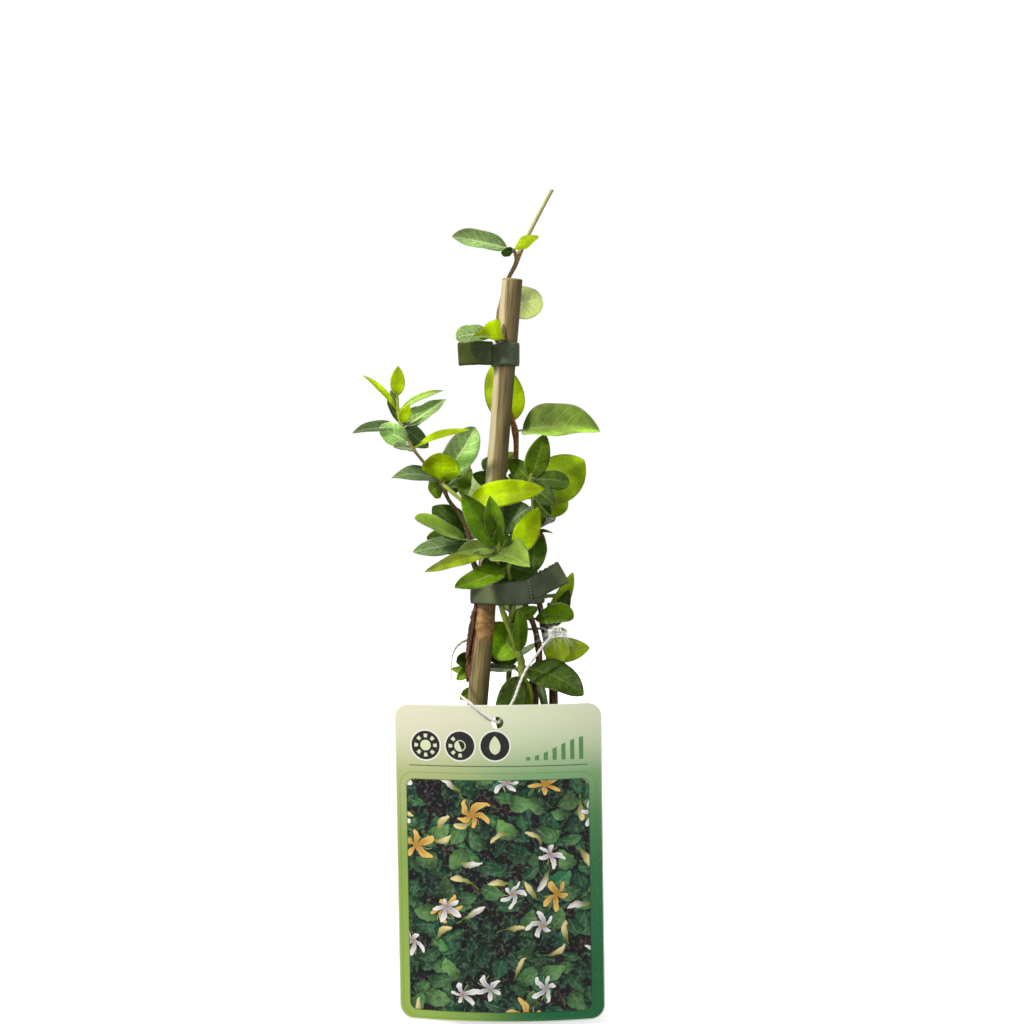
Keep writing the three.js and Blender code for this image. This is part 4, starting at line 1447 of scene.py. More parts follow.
@dataclass(frozen=True)
class BladeMaker:
    """Makes the fine closed skin of a leaf, from its round stalk to its thin blade."""

    rings: int = 40
    half_columns: int = 8
    thickness: float = 0.3
    stalk_radius: float = 0.52
    stalk_end: float = 0.1
    stalk_rings: int = 6
    stalk_taper: float = 0.03
    flat_from: float = 0.05
    tip_radius: float = 0.08
    tip_width: float = 1.2
    rib_width: float = 0.84
    rib_sink: float = 0.12
    rib_fade: float = 0.85
    quilting: float = 0.18
    curl: float = 0.05
    fold_gain: float = 1.45
    steepest_fold: float = 42.0
    waves: float = 0.4
    usual_width: float = 12.0
    hair_step: float = 0.42
    hair_reach: float = 0.62
    hair_span: tuple[float, float] = (0.03, 0.985)
    hair_lean: tuple[float, float] = (0, 0.9)
    hair_lift: tuple[float, float] = (-0.4, 0.5)
    seam_width: float = 0.25
    brightness: tuple[float, float] = (0.9, 1.1)
    painted_base_shade: float = 0.72

    def frames(self, leaf: Leaf, root: Array, u: Array) -> tuple[Array, Array, Array]:
        """Gives the midrib's points and the sideways and upward ways there.

        Args:
            leaf: The leaf.
            root: Where it leaves its shoot.
            u: Places along it, 0 to 1.

        Returns:
            The midrib's points, the sideways ways and the upward ways.
        """
        span = np.asarray(leaf.tip) - root
        length = np.linalg.norm(span)
        along = span / length
        up = np.asarray(leaf.facing.value)
        up = unit(up - along * (up @ along))
        across = np.cross(along, up)
        bow = (4 * u * (1 - u))[:, None]
        middle = root + span * u[:, None] + (up * leaf.arch + across * leaf.sweep) * bow
        lift = unit(up * length - along * (4 * leaf.arch * (1 - 2 * u))[:, None])
        turn = (math.radians(leaf.twist) * (u - 0.5))[:, None]
        side = across * np.cos(turn) + lift * np.sin(turn)
        return middle, side, lift * np.cos(turn) - across * np.sin(turn)

    def shade(self, leaf: Leaf, s: Array, v: Array, draw: random.Random) -> Array:
        """Gives the leaf's random tone times its painted light and shade, over places along and across it.

        Args:
            leaf: The leaf.
            s: Places along it, 0 to 1.
            v: Places across it, -1 to 1.
            draw: Random numbers.

        Returns:
            The brightness at each place.
        """
        # painted light and shade on each half of the blade
        tint = np.where(v < 0, leaf.left, leaf.right)
        blend = smooth_step(0, self.seam_width, np.abs(v))
        tint = (tint * blend + (leaf.left + leaf.right) / 2 * (1 - blend)) * draw.uniform(*self.brightness)
        # painted shade darkens the blade towards its base
        base = self.painted_base_shade
        tint = tint * (base + (1 - base) * smooth_step(0.0, 0.25, s))
        # painted light and shade on the outer part of the blade
        return tint * (1 + (leaf.end - 1) * smooth_step(0.3, 0.85, s))

    def add(self, mesh: Mesh, leaf: Leaf, root: Array, slot: int, draw: random.Random) -> tuple[Array, Array]:
        """Adds a leaf to a mesh.

        Args:
            mesh: The mesh that the leaf joins.
            leaf: The leaf.
            root: Where it leaves its shoot.
            slot: The number of its finish.
            draw: Random numbers for its small irregularities.

        Returns:
            Points along both margins, and the ways that their hairs point.
        """
        outer = (1 - np.cos(np.pi * np.linspace(0, 1, self.rings))) / 2
        s = np.concatenate([np.zeros(self.stalk_rings), outer])
        stalk = np.linspace(0, self.stalk_end, self.stalk_rings, endpoint=False)
        along = np.append(stalk, self.stalk_end + (1 - self.stalk_end) * outer)
        middle, side, normal = self.frames(leaf, root, along)
        narrow = self.tip_radius + (self.stalk_radius - self.tip_radius) * np.exp(-s / self.stalk_taper)
        half = np.maximum(leaf.width / 2 * leaf.form.half_width(s), narrow)[:, None]
        s = s[:, None]
        flat = smooth_step(0.0, self.flat_from, s)
        t = np.linspace(-1, 1, 2 * self.half_columns + 1)
        v = np.sin(t * np.pi / 2) * (1 - flat) + np.sign(t) * np.abs(t) ** 1.25 * flat
        reach = np.abs(v)
        across = half * v
        fold = math.radians(min(leaf.fold * self.fold_gain, self.steepest_fold))
        height = half * (reach**1.2 * math.sin(fold) - reach**2 * self.curl * flat)
        phase = VEINS.phase(s, reach, np.sign(v))
        sunk = (0.5 - 0.5 * np.cos(2 * np.pi * phase)) ** 4 * smooth_step(1.0, 0.6, reach)
        size = leaf.width / self.usual_width
        height = height - sunk * flat * self.quilting * min(1.5, size)
        turns = draw.uniform(1.2, 2.2)
        starts = draw.uniform(0, math.tau), draw.uniform(0, math.tau)
        rippled = np.sin(turns * math.tau * s + np.where(v < 0, *starts)) * reach**2.5
        height = height + rippled * flat * self.waves * size
        rib = np.exp(-((across / (self.rib_width / 2)) ** 2)) * flat
        ridge = rib * self.stalk_radius * (1 - self.rib_fade * s)
        round_half = self.stalk_radius * np.sqrt(np.clip(1 - v**2, 0, 1)) * (1 - flat)
        thick = round_half + flat * self.thickness / 2 * np.sqrt(np.clip(1 - reach**6, 0, 1))
        tip_share = np.minimum(1, half / (self.tip_width / 2))
        top, bottom = thick - rib * self.rib_sink, thick + ridge
        levels = height, height + top * tip_share, height - bottom * tip_share
        flat_skin = middle[:, None] + side[:, None] * (across * math.cos(fold))[..., None]
        edge, upper, lower = (flat_skin + normal[:, None] * level[..., None] for level in levels)
        upper[:, [0, -1]] = edge[:, [0, -1]]
        points = np.concatenate([upper, lower[:, -2:0:-1]], axis=1)
        v_all = np.concatenate([v, v[:, -2:0:-1]], axis=1)
        s_all = np.broadcast_to(s, v_all.shape)
        under = np.broadcast_to(np.arange(v_all.shape[1]) >= v.shape[1], v_all.shape)
        span = np.asarray(leaf.tip) - root
        mesh.add(
            points.reshape(-1, 3),
            [face[::-1] for face in skin_faces(*v_all.shape)],
            slot,
            leaf=np.stack([s_all, v_all], -1).reshape(-1, 2),
            leaf_size=np.stack([s_all * np.linalg.norm(span), half * v_all], -1).reshape(-1, 2),
            under=under.ravel(),
            shade=self.shade(leaf, s_all, v_all, draw).ravel(),
        )
        return self.margin(span, edge, side, normal, s[:, 0], draw)

    def margin(
        self, span: Array, edge: Array, side: Array, normal: Array, s: Array, draw: random.Random
    ) -> tuple[Array, Array]:
        """Gives points along both margins, and the ways that their hairs point.

        Args:
            span: From the leaf's root to its tip.
            edge: The blade's points, ring by ring.
            side: The sideways way at each ring.
            normal: The upward way at each ring.
            s: The place of each ring, 0 to 1.
            draw: Random numbers.

        Returns:
            The points and the ways.
        """
        length = np.linalg.norm(span)
        points, ways = [], []
        for column, sign in ((0, -1), (-1, 1)):
            for _ in range(int(length / self.hair_step)):
                at = np.interp(draw.uniform(*self.hair_span), s, np.arange(len(s)))
                k = min(int(at), len(s) - 2)
                points.append(edge[k, column] + (edge[k + 1, column] - edge[k, column]) * (at - k))
                way = side[k] * sign + span / length * draw.uniform(*self.hair_lean)
                ways.append(way + normal[k] * draw.uniform(*self.hair_lift))
        return np.array(points), unit(np.array(ways))


BLADES = BladeMaker()


@dataclass(frozen=True)
class Shoot:
    """A side shoot: where it leaves the main stem, its own rows and, maybe, its own skin."""

    place: float
    rows: tuple[Point, ...]
    skin: StemSkin | None = None


@dataclass
class Vine:
    """One leafy stem: its route, side shoots, skins by height, and leaves."""

    node: str
    seed: int
    rows: tuple[Point, ...]
    skins: tuple[tuple[float, StemSkin], ...]
    leaves: tuple[Leaf, ...]
    shoots: Mapping[str, Shoot] = field(default_factory=dict)
    step: float = 0.8
    sides: int = 14
    relief: float = 0.6
    grain: float = 0.42
    node_swell: float = 0.3
    node_length: float = 0.22
    hairs_per_length: float = 5.2
    hair_reach: float = 0.6
    hair_thickness: float = 0.04
    hair_lean: float = 0.3
    hair_scatter: float = 0.2
    bald_height: float = 70.0

    def routes(self) -> dict[str, Route]:
        """Gives each shoot's route, side shoots starting on the main stem.

        Returns:
            The routes by name.
        """
        main = Route(self.rows)
        found = {"main": main}
        for name, shoot in self.shoots.items():
            start = (*main.at(shoot.place)[0][:3], shoot.rows[0][3])
            found[name] = Route((start, *shoot.rows))
        return found

    def lines(self) -> dict[str, Array]:
        """Gives each shoot's fine rows, a little thicker where leaves stand.

        Returns:
            Rows of x, y, z and radius by name.
        """
        found = {}
        for name, route in self.routes().items():
            rows, places = route.even(self.step)
            for place in {round(leaf.place * 2) / 2 for leaf in self.leaves if leaf.shoot == name}:
                rows[:, 3] *= 1 + self.node_swell * np.exp(-(((places - place) / self.node_length) ** 2))
            found[name] = rows
        return found

    def skin_at(self, name: str, heights: Array) -> tuple[Array, Array]:
        """Gives the tint and the share of bark at heights on a shoot.

        Args:
            name: The shoot's name.
            heights: Heights on it.

        Returns:
            The tints and the shares.
        """
        own = self.shoots[name].skin if name in self.shoots else None
        skins = ((0.0, own),) if own else self.skins
        levels = [level for level, _ in skins]
        tints = np.array([colour(skin.value[0]) for _, skin in skins])
        tint = np.stack([np.interp(heights, levels, tints[:, i]) for i in range(3)], -1)
        return tint, np.interp(heights, levels, [skin.value[1] for _, skin in skins])

    def stems(self, tree: TubeTree) -> Piece:
        """Makes the stem and its side shoots.

        Args:
            tree: The tree that grows them.

        Returns:
            The piece.
        """
        guide = Mesh()
        for name, rows in self.lines().items():
            tint, bark = self.skin_at(name, rows[:, 2])
            guide.line(rows, tint=tint, bark=bark)
        sizes = {"Sides": self.sides, "Relief": self.relief, "Grain": self.grain}
        return tree.grow(guide, self.node + "_stems", STEM_SURFACE, **sizes)

    def hairs(self, margins: Sequence[tuple[Array, Array]], tree: BristleTree) -> Piece:
        """Makes the hairs on the leaves' margins and on the green parts of the stems.

        Args:
            margins: For each leaf, the places and ways of its hairs.
            tree: The tree that grows them.

        Returns:
            The piece.
        """
        guide = Mesh()
        for points, ways in margins:
            guide.add(points, way=ways, reach=np.full(len(points), BLADES.hair_reach))
        draw = np.random.default_rng(self.seed)
        for name, rows in self.lines().items():
            picked = draw.integers(1, len(rows) - 1, int(len(rows) * self.step * self.hairs_per_length))
            _, bark = self.skin_at(name, rows[:, 2])
            picked = picked[(bark[picked] < 0.5) & (rows[picked, 2] > self.bald_height)]
            points, out, along = rooted(rows, picked, draw)
            ways = unit(out + along * self.hair_lean + draw.normal(scale=self.hair_scatter, size=out.shape))
            guide.add(points, way=ways, reach=np.full(len(points), self.hair_reach))
        sizes = {"Thickness": self.hair_thickness, "Seed": self.seed}
        return tree.grow(guide, self.node + "_hairs", LEAF_HAIR, **sizes)

    def build(self, tubes: TubeTree, bristles: BristleTree) -> None:
        """Makes the leafy stem's pieces and puts them in the node's place.

        Args:
            tubes: The tree that grows the stems.
            bristles: The tree that grows the hairs.
        """
        mesh = Mesh()
        routes = self.routes()
        tones = list(dict.fromkeys(leaf.tone for leaf in self.leaves))
        draw = random.Random(self.seed)
        margins = []
        for leaf in self.leaves:
            root = routes[leaf.shoot].at(leaf.place)[0][:3]
            margins.append(BLADES.add(mesh, leaf, root, tones.index(leaf.tone), draw))
        leaves = mesh.made(self.node + "_leaves", *(tone.value for tone in tones))
        for piece in (leaves, self.stems(tubes), self.hairs(margins, bristles)):
            settle(piece, self.node)


# the stem that winds up the cane, cut off at its tip
CLIMBING_STEM = Vine(
    node="vine_climbing_stem",
    seed=11,
    rows=(
        (15, 6, 20, 2.2), (14.5, 5, 75, 2.5), (16.5, 3, 148.5, 2.5), (19, 2, 163, 1.6), (17, 2, 177.5, 1.3),
        (11.5, 2, 192.5, 1.2), (9, 4, 210.5, 1.2), (8.5, 5, 234.5, 1.2), (8, 5, 257.5, 1.2),
        (7.5, 6.5, 272, 1.3), (3, 8.5, 287, 1.1), (-2, 4.8, 303.5, 1), (-1, 4.8, 315.5, 1.1),
        (0, 5.5, 329, 1.1), (2, 7.2, 338.5, 1), (4.5, 6, 345.5, 1), (7.5, 3, 351, 1.1), (9.5, 1, 356.5, 1.3),
        (13, 0, 363.5, 0.95), (17.5, 0, 372.5, 0.95), (21.5, 0, 380, 0.9), (25, 0, 386.5, 0.9),
    ),
    skins=(
        (178, BARK), (196, GREEN), (240, GREEN), (255, RED), (305, RED), (322, BROWN), (342, PINK),
        (357, PINK), (361, STRAW), (375, STRAW),
    ),
    shoots={
        "collar": Shoot(
            12,
            ((-2.2, -1, 316.2, 0.8), (-0.8, -5.5, 316.5, 0.8), (2.6, -6.6, 317.2, 0.6)),
        ),
        "tip": Shoot(16.3, ((7.5, -1.2, 356.3, 0.8), (6.4, -3.5, 357.8, 0.7))),
    },
    leaves=(
        # the pair under the cut tip, with a small leaf in its shade
        Leaf(
            2, (-22.2, -6, 363.8), 13.5, PALE, UP_FRONT, OVAL,
            arch=0.8, sweep=-0.3, fold=14, left=1.45, right=0.85, shoot="tip",
        ),
        Leaf(1.6, (0.8, -7, 356.3), 5.5, DARK, DOWN_FRONT, shoot="tip"),
        Leaf(2, (18.6, -6.5, 363.8), 8.5, LIT, UP_FRONT, LANCE, sweep=0.4, fold=14, shoot="tip"),
        # beside the cane's head
        Leaf(13.2, (20.5, 17, 336), 17, DOWNY, form=ROUND, left=1.35, right=1.55),
        Leaf(
            2, (-20.4, -9, 316.3), 11.5, PALE, UP_FRONT, BLUNT,
            arch=2.2, fold=10, twist=10, left=1.3, right=1.4, shoot="collar",
        ),
        Leaf(3, (-12.5, -10.5, 316.5), 17.5, LIT, UP_FRONT, WEDGE, fold=25, shoot="collar"),
        # the wide pair behind and right of the cane
        Leaf(9.1, (-2.5, 19, 306), 19, LIT, BACK, arch=-2, left=0.82, right=0.76),
        Leaf(9, (47.5, -6, 272.5), 25, YOUNG, UP_FRONT, arch=3, fold=22, left=0.65, right=1.5, end=1.15),
        Leaf(7.4, (-13, 15, 251.5), 10, DARK),
        # the low right side
        Leaf(4.3, (35, -9, 184), 13, MID, UP_FRONT, BLUNT, arch=1.5, sweep=-1.5, fold=10, twist=15, end=1.3),
        Leaf(3.4, (42.8, -8, 169.7), 12.5, OLIVE, arch=1, sweep=1, left=1.1, right=1.25),
        Leaf(2.5, (23.5, -3, 132), 4, GREY, form=LANCE, fold=10),
        Leaf(1.6, (34, -16, 124), 12, DARK, UP_FRONT, arch=2),
    ),
)

# the woody branch behind the cane and its young shoot to the left
LEFT_BRANCH = Vine(
    node="vine_left_branch",
    seed=23,
    rows=(
        (-7, 8, 20, 3.2), (-9, 9, 75, 3.2), (-11.5, 9, 141.5, 3), (-12.5, 8.4, 156.5, 3),
        (-12.5, 8, 169.5, 3), (-10, 8.2, 184, 2.8), (-9.5, 8.2, 192, 2.5), (-9, 7.2, 201, 2.2),
        (-12.5, 2.5, 210, 1.3), (-13.8, -3, 220.5, 1.1), (-17.8, -6, 231.5, 1), (-24, -7, 240, 0.9),
        (-27.5, -8, 248, 0.9), (-35, -9, 257, 0.75), (-40.5, -9, 264, 0.7), (-44.5, -9, 271, 0.7),
        (-46.5, -9, 275.5, 0.7), (-47.5, -9, 281, 0.7), (-48, -9, 288, 0.6),
    ),
    skins=((198, BARK), (205, BROWN), (238, BROWN), (250, PINK), (268, PINK), (277, FRESH)),
    shoots={
        "side": Shoot(12, ((-22, -11, 243.5, 1), (-16.5, -12, 239, 0.9)), FRESH),
    },
    leaves=(
        # the growing tip
        Leaf(17.9, (-47.5, -9, 303), 7.5, LIT, form=LANCE, fold=15),
        Leaf(
            17, (-64, -12, 298.5), 3.8, LIT, FRONT_RIGHT, LANCE,
            arch=1, sweep=1.2, fold=16, left=0.9, right=1.1,
        ),
        Leaf(17.2, (-51.5, -4, 292), 4, GREY, FRONT_RIGHT, LANCE, fold=10),
        Leaf(
            17.1, (-26, -6, 291.5), 4.2, YOUNG, UP_FRONT, LANCE,
            arch=1.5, sweep=-1, fold=10, left=1.25, right=1.4,
        ),
        # the first full node
        Leaf(16, (-42, -14, 285), 6, LIT, form=LANCE, fold=10),
        Leaf(15.5, (-25, -6, 287.5), 9.5, PALE, UP_FRONT, LANCE, fold=15, left=1.2, right=1.35),
        Leaf(16, (-34, 4, 264.5), 9, GREY),
        Leaf(15.6, (-34.5, 5, 284.5), 9, GREY),
        Leaf(16, (-53, -5, 287), 4.5, DARK, FRONT_RIGHT, LANCE, fold=10),
        Leaf(15.7, (-69, -12, 271.5), 8, GREY, UP_FRONT, LANCE, arch=1.5, fold=20),
        Leaf(15.9, (-46, 12, 284), 7, MID, UP_BACK),
        # the second node
        Leaf(14.3, (-56, -12, 274.5), 10.5, PALE, form=OVAL, arch=1.5, left=2.2, right=2.1),
        Leaf(14, (-13.5, -16, 273), 5.5, LIT, UP_FRONT, LANCE, arch=2.5, fold=20, left=1.1),
        Leaf(14, (-49, -22, 265), 8, PALE, UP_FRONT, LANCE, fold=10),
        Leaf(14, (-38, 17, 268), 9, MID, UP_BACK),
        # the third node, where the side shoot leaves
        Leaf(12.1, (-11.5, -1, 274), 16, PALE, form=OVAL, sweep=1, fold=12, left=0.9, right=1.65),
        Leaf(
            12, (-27.2, -16.5, 262.2), 18.5, LIT,
            form=ROUND, arch=1.2, fold=8, left=1.4, right=1.45, end=0.5,
        ),
        Leaf(12, (-16.5, -18, 252.5), 7, LIT, UP_BACK, LANCE, arch=1, fold=10),
        Leaf(12, (-50.5, -18, 250.5), 10, GREY, UP_FRONT, LANCE, arch=4.5, fold=10),
        Leaf(11.9, (-33, -3, 243.5), 10, MID, form=ROUND),
        Leaf(11.9, (-17.5, 3, 247), 9, DARK),
        Leaf(11.6, (-14, 6, 257), 9, PALE),
        Leaf(12, (-22, 24, 256), 13, MID, UP_BACK),
        Leaf(2, (-13, -7, 254.5), 10, MID, FRONT_LEFT, LANCE, fold=25, shoot="side"),
        Leaf(2, (21, -22, 245.5), 13, LIT, arch=1.5, sweep=-1, fold=12, shoot="side"),
        # the node above the lower tie
        Leaf(9.1, (-31.8, 2, 236.6), 15, DARK, end=1.2),
        Leaf(8.9, (-34.7, 0, 221.8), 14, DARK, end=1.2),
        Leaf(
            8.9, (-39.6, -15, 231.8), 10.5, YOUNG, UP_FRONT, BLUNT,
            arch=0.5, sweep=-0.8, fold=22, left=1.3, right=1.5,
        ),
        Leaf(8.9, (-40.9, -6, 215), 11.5, GREY, UP_FRONT, arch=1, left=1.4, right=1.4, end=1.2),
        Leaf(9, (-20, 29, 226), 14, DARK, UP_BACK),
        # left of the woody foot
        Leaf(3.5, (-20.5, -1, 162), 8, DARK, form=ROUND, fold=10),
        Leaf(3.2, (-20.5, 0, 153.5), 6, MID, fold=10, left=1.3),
        Leaf(3.3, (-23.5, 1, 159), 4.5, YOUNG, form=LANCE, sweep=-2),
        Leaf(2.2, (-19, 2, 144), 6, MID, fold=10),
        Leaf(1.5, (-38, 18, 116), 13, DARK, UP_BACK, arch=3, fold=10),
    ),
)

# the shoot before the cane, with its bright fan of leaves over the lower tie
FRONT_SHOOT = Vine(
    node="vine_front_shoot",
    seed=37,
    rows=(
        (3, -6, 20, 1.4), (5, -5, 75, 1.4), (9.5, -4, 143, 1.4), (10.5, -3, 159.5, 1.5), (9.5, -4, 166, 1.4),
        (5, -6, 178, 1.2), (0.5, -8, 190.5, 1.1), (-1.5, -9, 202, 1.1), (-1, -11, 211.5, 1),
        (-0.5, -12, 217, 1.1), (0, -14, 221, 0.8),
    ),
    skins=((100, BROWN), (155, GREEN), (200, FRESH)),
    shoots={
        "side": Shoot(
            5.2,
            (
                (7, -7, 191, 1.1), (5.5, -9, 202, 1.1), (4.5, -11, 209, 1), (8, -10, 213.5, 0.9),
                (11, -9, 217, 0.8),
            ),
        ),
    },
    leaves=(
        # the fan of leaves over the lower tie
        Leaf(9, (-17.1, -26, 243.4), 13.5, MID, fold=14, left=1.5, right=0.85),
        Leaf(9.3, (-4.3, -25, 242.5), 9.5, MID, form=LANCE, fold=12, left=0.95, right=1.4),
        Leaf(9, (0.4, -19, 228.1), 6, MID, form=LANCE, fold=14, left=0.8),
        Leaf(3.7, (18.6, -16, 236.8), 12.5, LIT, form=LANCE, fold=12, left=1.3, right=1.1, shoot="side"),
        Leaf(
            8.6, (14.3, -33, 210.2), 19, YOUNG, UP_FRONT, DELTOID,
            arch=1, fold=16, left=1.1, right=1.35, end=1.3,
        ),
        Leaf(9, (-19.8, -24, 215.9), 10.5, YOUNG, UP_FRONT, LANCE, arch=1, fold=13, left=1.15, right=0.8),
        Leaf(8.3, (-12, -26, 215.5), 6, YOUNG, UP_FRONT, LANCE, fold=10),
        Leaf(8.8, (-35, -11, 206), 8.5, OLIVE, UP_FRONT, LANCE, arch=1.5, fold=10, left=1.2, right=0.85),
        Leaf(
            3, (-20.4, -30, 200.2), 12.5, MID, UP_FRONT,
            sweep=-1, fold=10, left=1.1, right=0.9, shoot="side",
        ),
        Leaf(3, (16.5, -15, 205.5), 11, DARK, shoot="side"),
        Leaf(2, (9.5, -12, 208), 12, DARK, end=1.3, shoot="side"),
        Leaf(8.8, (6.2, -6, 203.6), 12.5, DARK),
        Leaf(8.5, (-3.5, -8, 203.5), 9, DARK),
        Leaf(8, (4.2, -6, 223.5), 7.5, DARK),
        Leaf(8, (-8.5, -15, 208), 8, DARK, fold=10),
        # the low node between the stems
        Leaf(3.6, (-6, 6.5, 180), 18, MID, left=1.7, right=0.9),
        Leaf(4, (8.8, -14, 188.5), 10.5, MID, FRONT_RIGHT, fold=12, left=1.3, right=1.0),
        Leaf(5.3, (18.5, -2, 188.5), 7, MID, fold=10),
        Leaf(3, (39.6, -18, 148.6), 17.5, DARK, UP_FRONT, arch=1, sweep=-2.5, fold=8, left=1.3, right=1.1),
        Leaf(2.9, (0.5, -14, 129.5), 14, DARK),
        Leaf(3, (-11, 12.5, 158), 6.5, GREY, UP_FRONT, fold=10),
        Leaf(3.5, (-7.5, 8, 165), 8, DARK, fold=10),
        Leaf(2.8, (12, -8, 134), 10, OLIVE, fold=10, left=0.8, right=0.8),
        Leaf(3.2, (16, 28, 150), 10, MID, UP_BACK),
    ),
)

# the shoot right of the cane, with a dark rosette at its top
RIGHT_SHOOT = Vine(
    node="vine_right_shoot",
    seed=41,
    rows=(
        (24, 8, 20, 2.4), (25, 8, 75, 2.4), (26, 8, 141.5, 2.2), (25, 8, 157.5, 2), (22.5, 8, 172, 1.6),
        (20, 8, 185.5, 1.4), (18, 7.5, 196, 1.3), (16.5, 6, 210.5, 1.2), (17.5, 4, 225, 1.1),
        (16.5, 1, 237, 1.1), (15, -3, 249, 1.2), (15.5, -4, 252.5, 0.8),
    ),
    skins=((186, BARK), (200, BROWN), (215, GREEN)),
    shoots={
        "twig": Shoot(4.4, ((23, 5, 182.5, 1.1), (24, 5, 190, 0.9))),
    },
    leaves=(
        # the dark rosette at the top
        Leaf(10, (21.6, -8, 270.8), 12.5, MID, fold=15, left=0.85, right=0.62),
        Leaf(10, (4.5, 4.2, 258.8), 9, MID, left=0.8, right=0.8),
        Leaf(9.9, (4, 3.2, 251.5), 6, MID, form=LANCE, fold=10),
        Leaf(10, (33, -9, 247.8), 9.2, DARK, form=BLUNT, arch=1, sweep=-1),
        Leaf(9.8, (26.5, -14, 237.5), 9, DARK, fold=10),
        Leaf(9.3, (24.5, -7, 231.5), 8, DARK, form=LANCE, fold=15),
        Leaf(9.3, (41, 10, 258), 23.5, OLIVE, fold=8, left=1.7, right=1.2),
        Leaf(8.9, (33, 11, 239.5), 14, OLIVE, form=ROUND, left=1.3, right=1.1),
        Leaf(9, (1.8, -1, 224.5), 20.5, GREY, FRONT_LEFT, sweep=1.5, left=0.75, right=0.7),
        Leaf(10, (18, 30, 262), 12, MID, UP_BACK),
        # the middle of the shoot
        Leaf(8.4, (5.5, 0, 218.5), 12, DARK),
        Leaf(8, (20, 10, 236), 7, DARK, form=LANCE),
        Leaf(8, (15.5, -5, 204.5), 12.5, DARK, fold=10, left=1.3),
        Leaf(8, (26, 34, 232), 11, DARK, UP_BACK),
        Leaf(6.7, (19.8, 0.5, 224.5), 7.5, DRY, FRONT_RIGHT, sweep=1, fold=16),
        Leaf(7.6, (25.6, -1, 223.8), 3, DRY, UP_FRONT, LANCE, arch=3.4, sweep=-1, fold=20),
        Leaf(4.5, (35.5, 13, 204), 8, OLIVE, sweep=1.5),
        Leaf(4.3, (33.5, 9, 196), 8, DARK, sweep=1.5),
        Leaf(1.5, (42, 30, 120), 13, DARK, UP_BACK, arch=3, fold=10),
    ),
)

# the slim shoot that fills the back of the plant
BACK_SHOOT = Vine(
    node="vine_back_shoot",
    seed=53,
    rows=(
        (2, 15, 20, 1.4), (3, 15, 75, 1.4), (4, 13.5, 140, 1.3), (6, 11.8, 192, 1.2), (4, 14, 215, 1.1),
        (0, 17, 236, 1.1), (-4, 18, 250, 0.9),
    ),
    skins=((120, BROWN), (170, GREEN)),
    leaves=(
        Leaf(2.35, (26, 40, 168), 13, MID, UP_BACK, arch=2),
        Leaf(2.35, (-12, 38, 160), 12, DARK, UP_BACK, arch=2),
        Leaf(2.8, (30, 36, 190), 14, MID, UP_BACK, arch=3, fold=10),
        Leaf(2.8, (-6, 48, 186), 13, MID, UP_BACK, arch=3, fold=10),
        Leaf(4, (-24, 42, 220), 15, DARK, UP_BACK, arch=3, fold=10),
        Leaf(4, (14, 52, 214), 14, MID, UP_BACK, arch=4, fold=15),
        Leaf(5, (-22, 45, 248), 14, PALE, BACK, arch=2, fold=10),
        Leaf(5, (22, 46, 238), 13, MID, UP_BACK, arch=2, fold=15),
        Leaf(6, (-5, 36, 260), 10, DARK, UP_BACK, fold=15),
        Leaf(6, (7, 34, 262), 10, MID, BACK, fold=15),
        Leaf(1.6, (-14, 42, 120), 14, DARK, UP_BACK, arch=3, fold=10),
        Leaf(1.6, (20, 44, 108), 12, MID, UP_BACK, arch=3, fold=10),
    ),
)


# ---- string, cane and ties


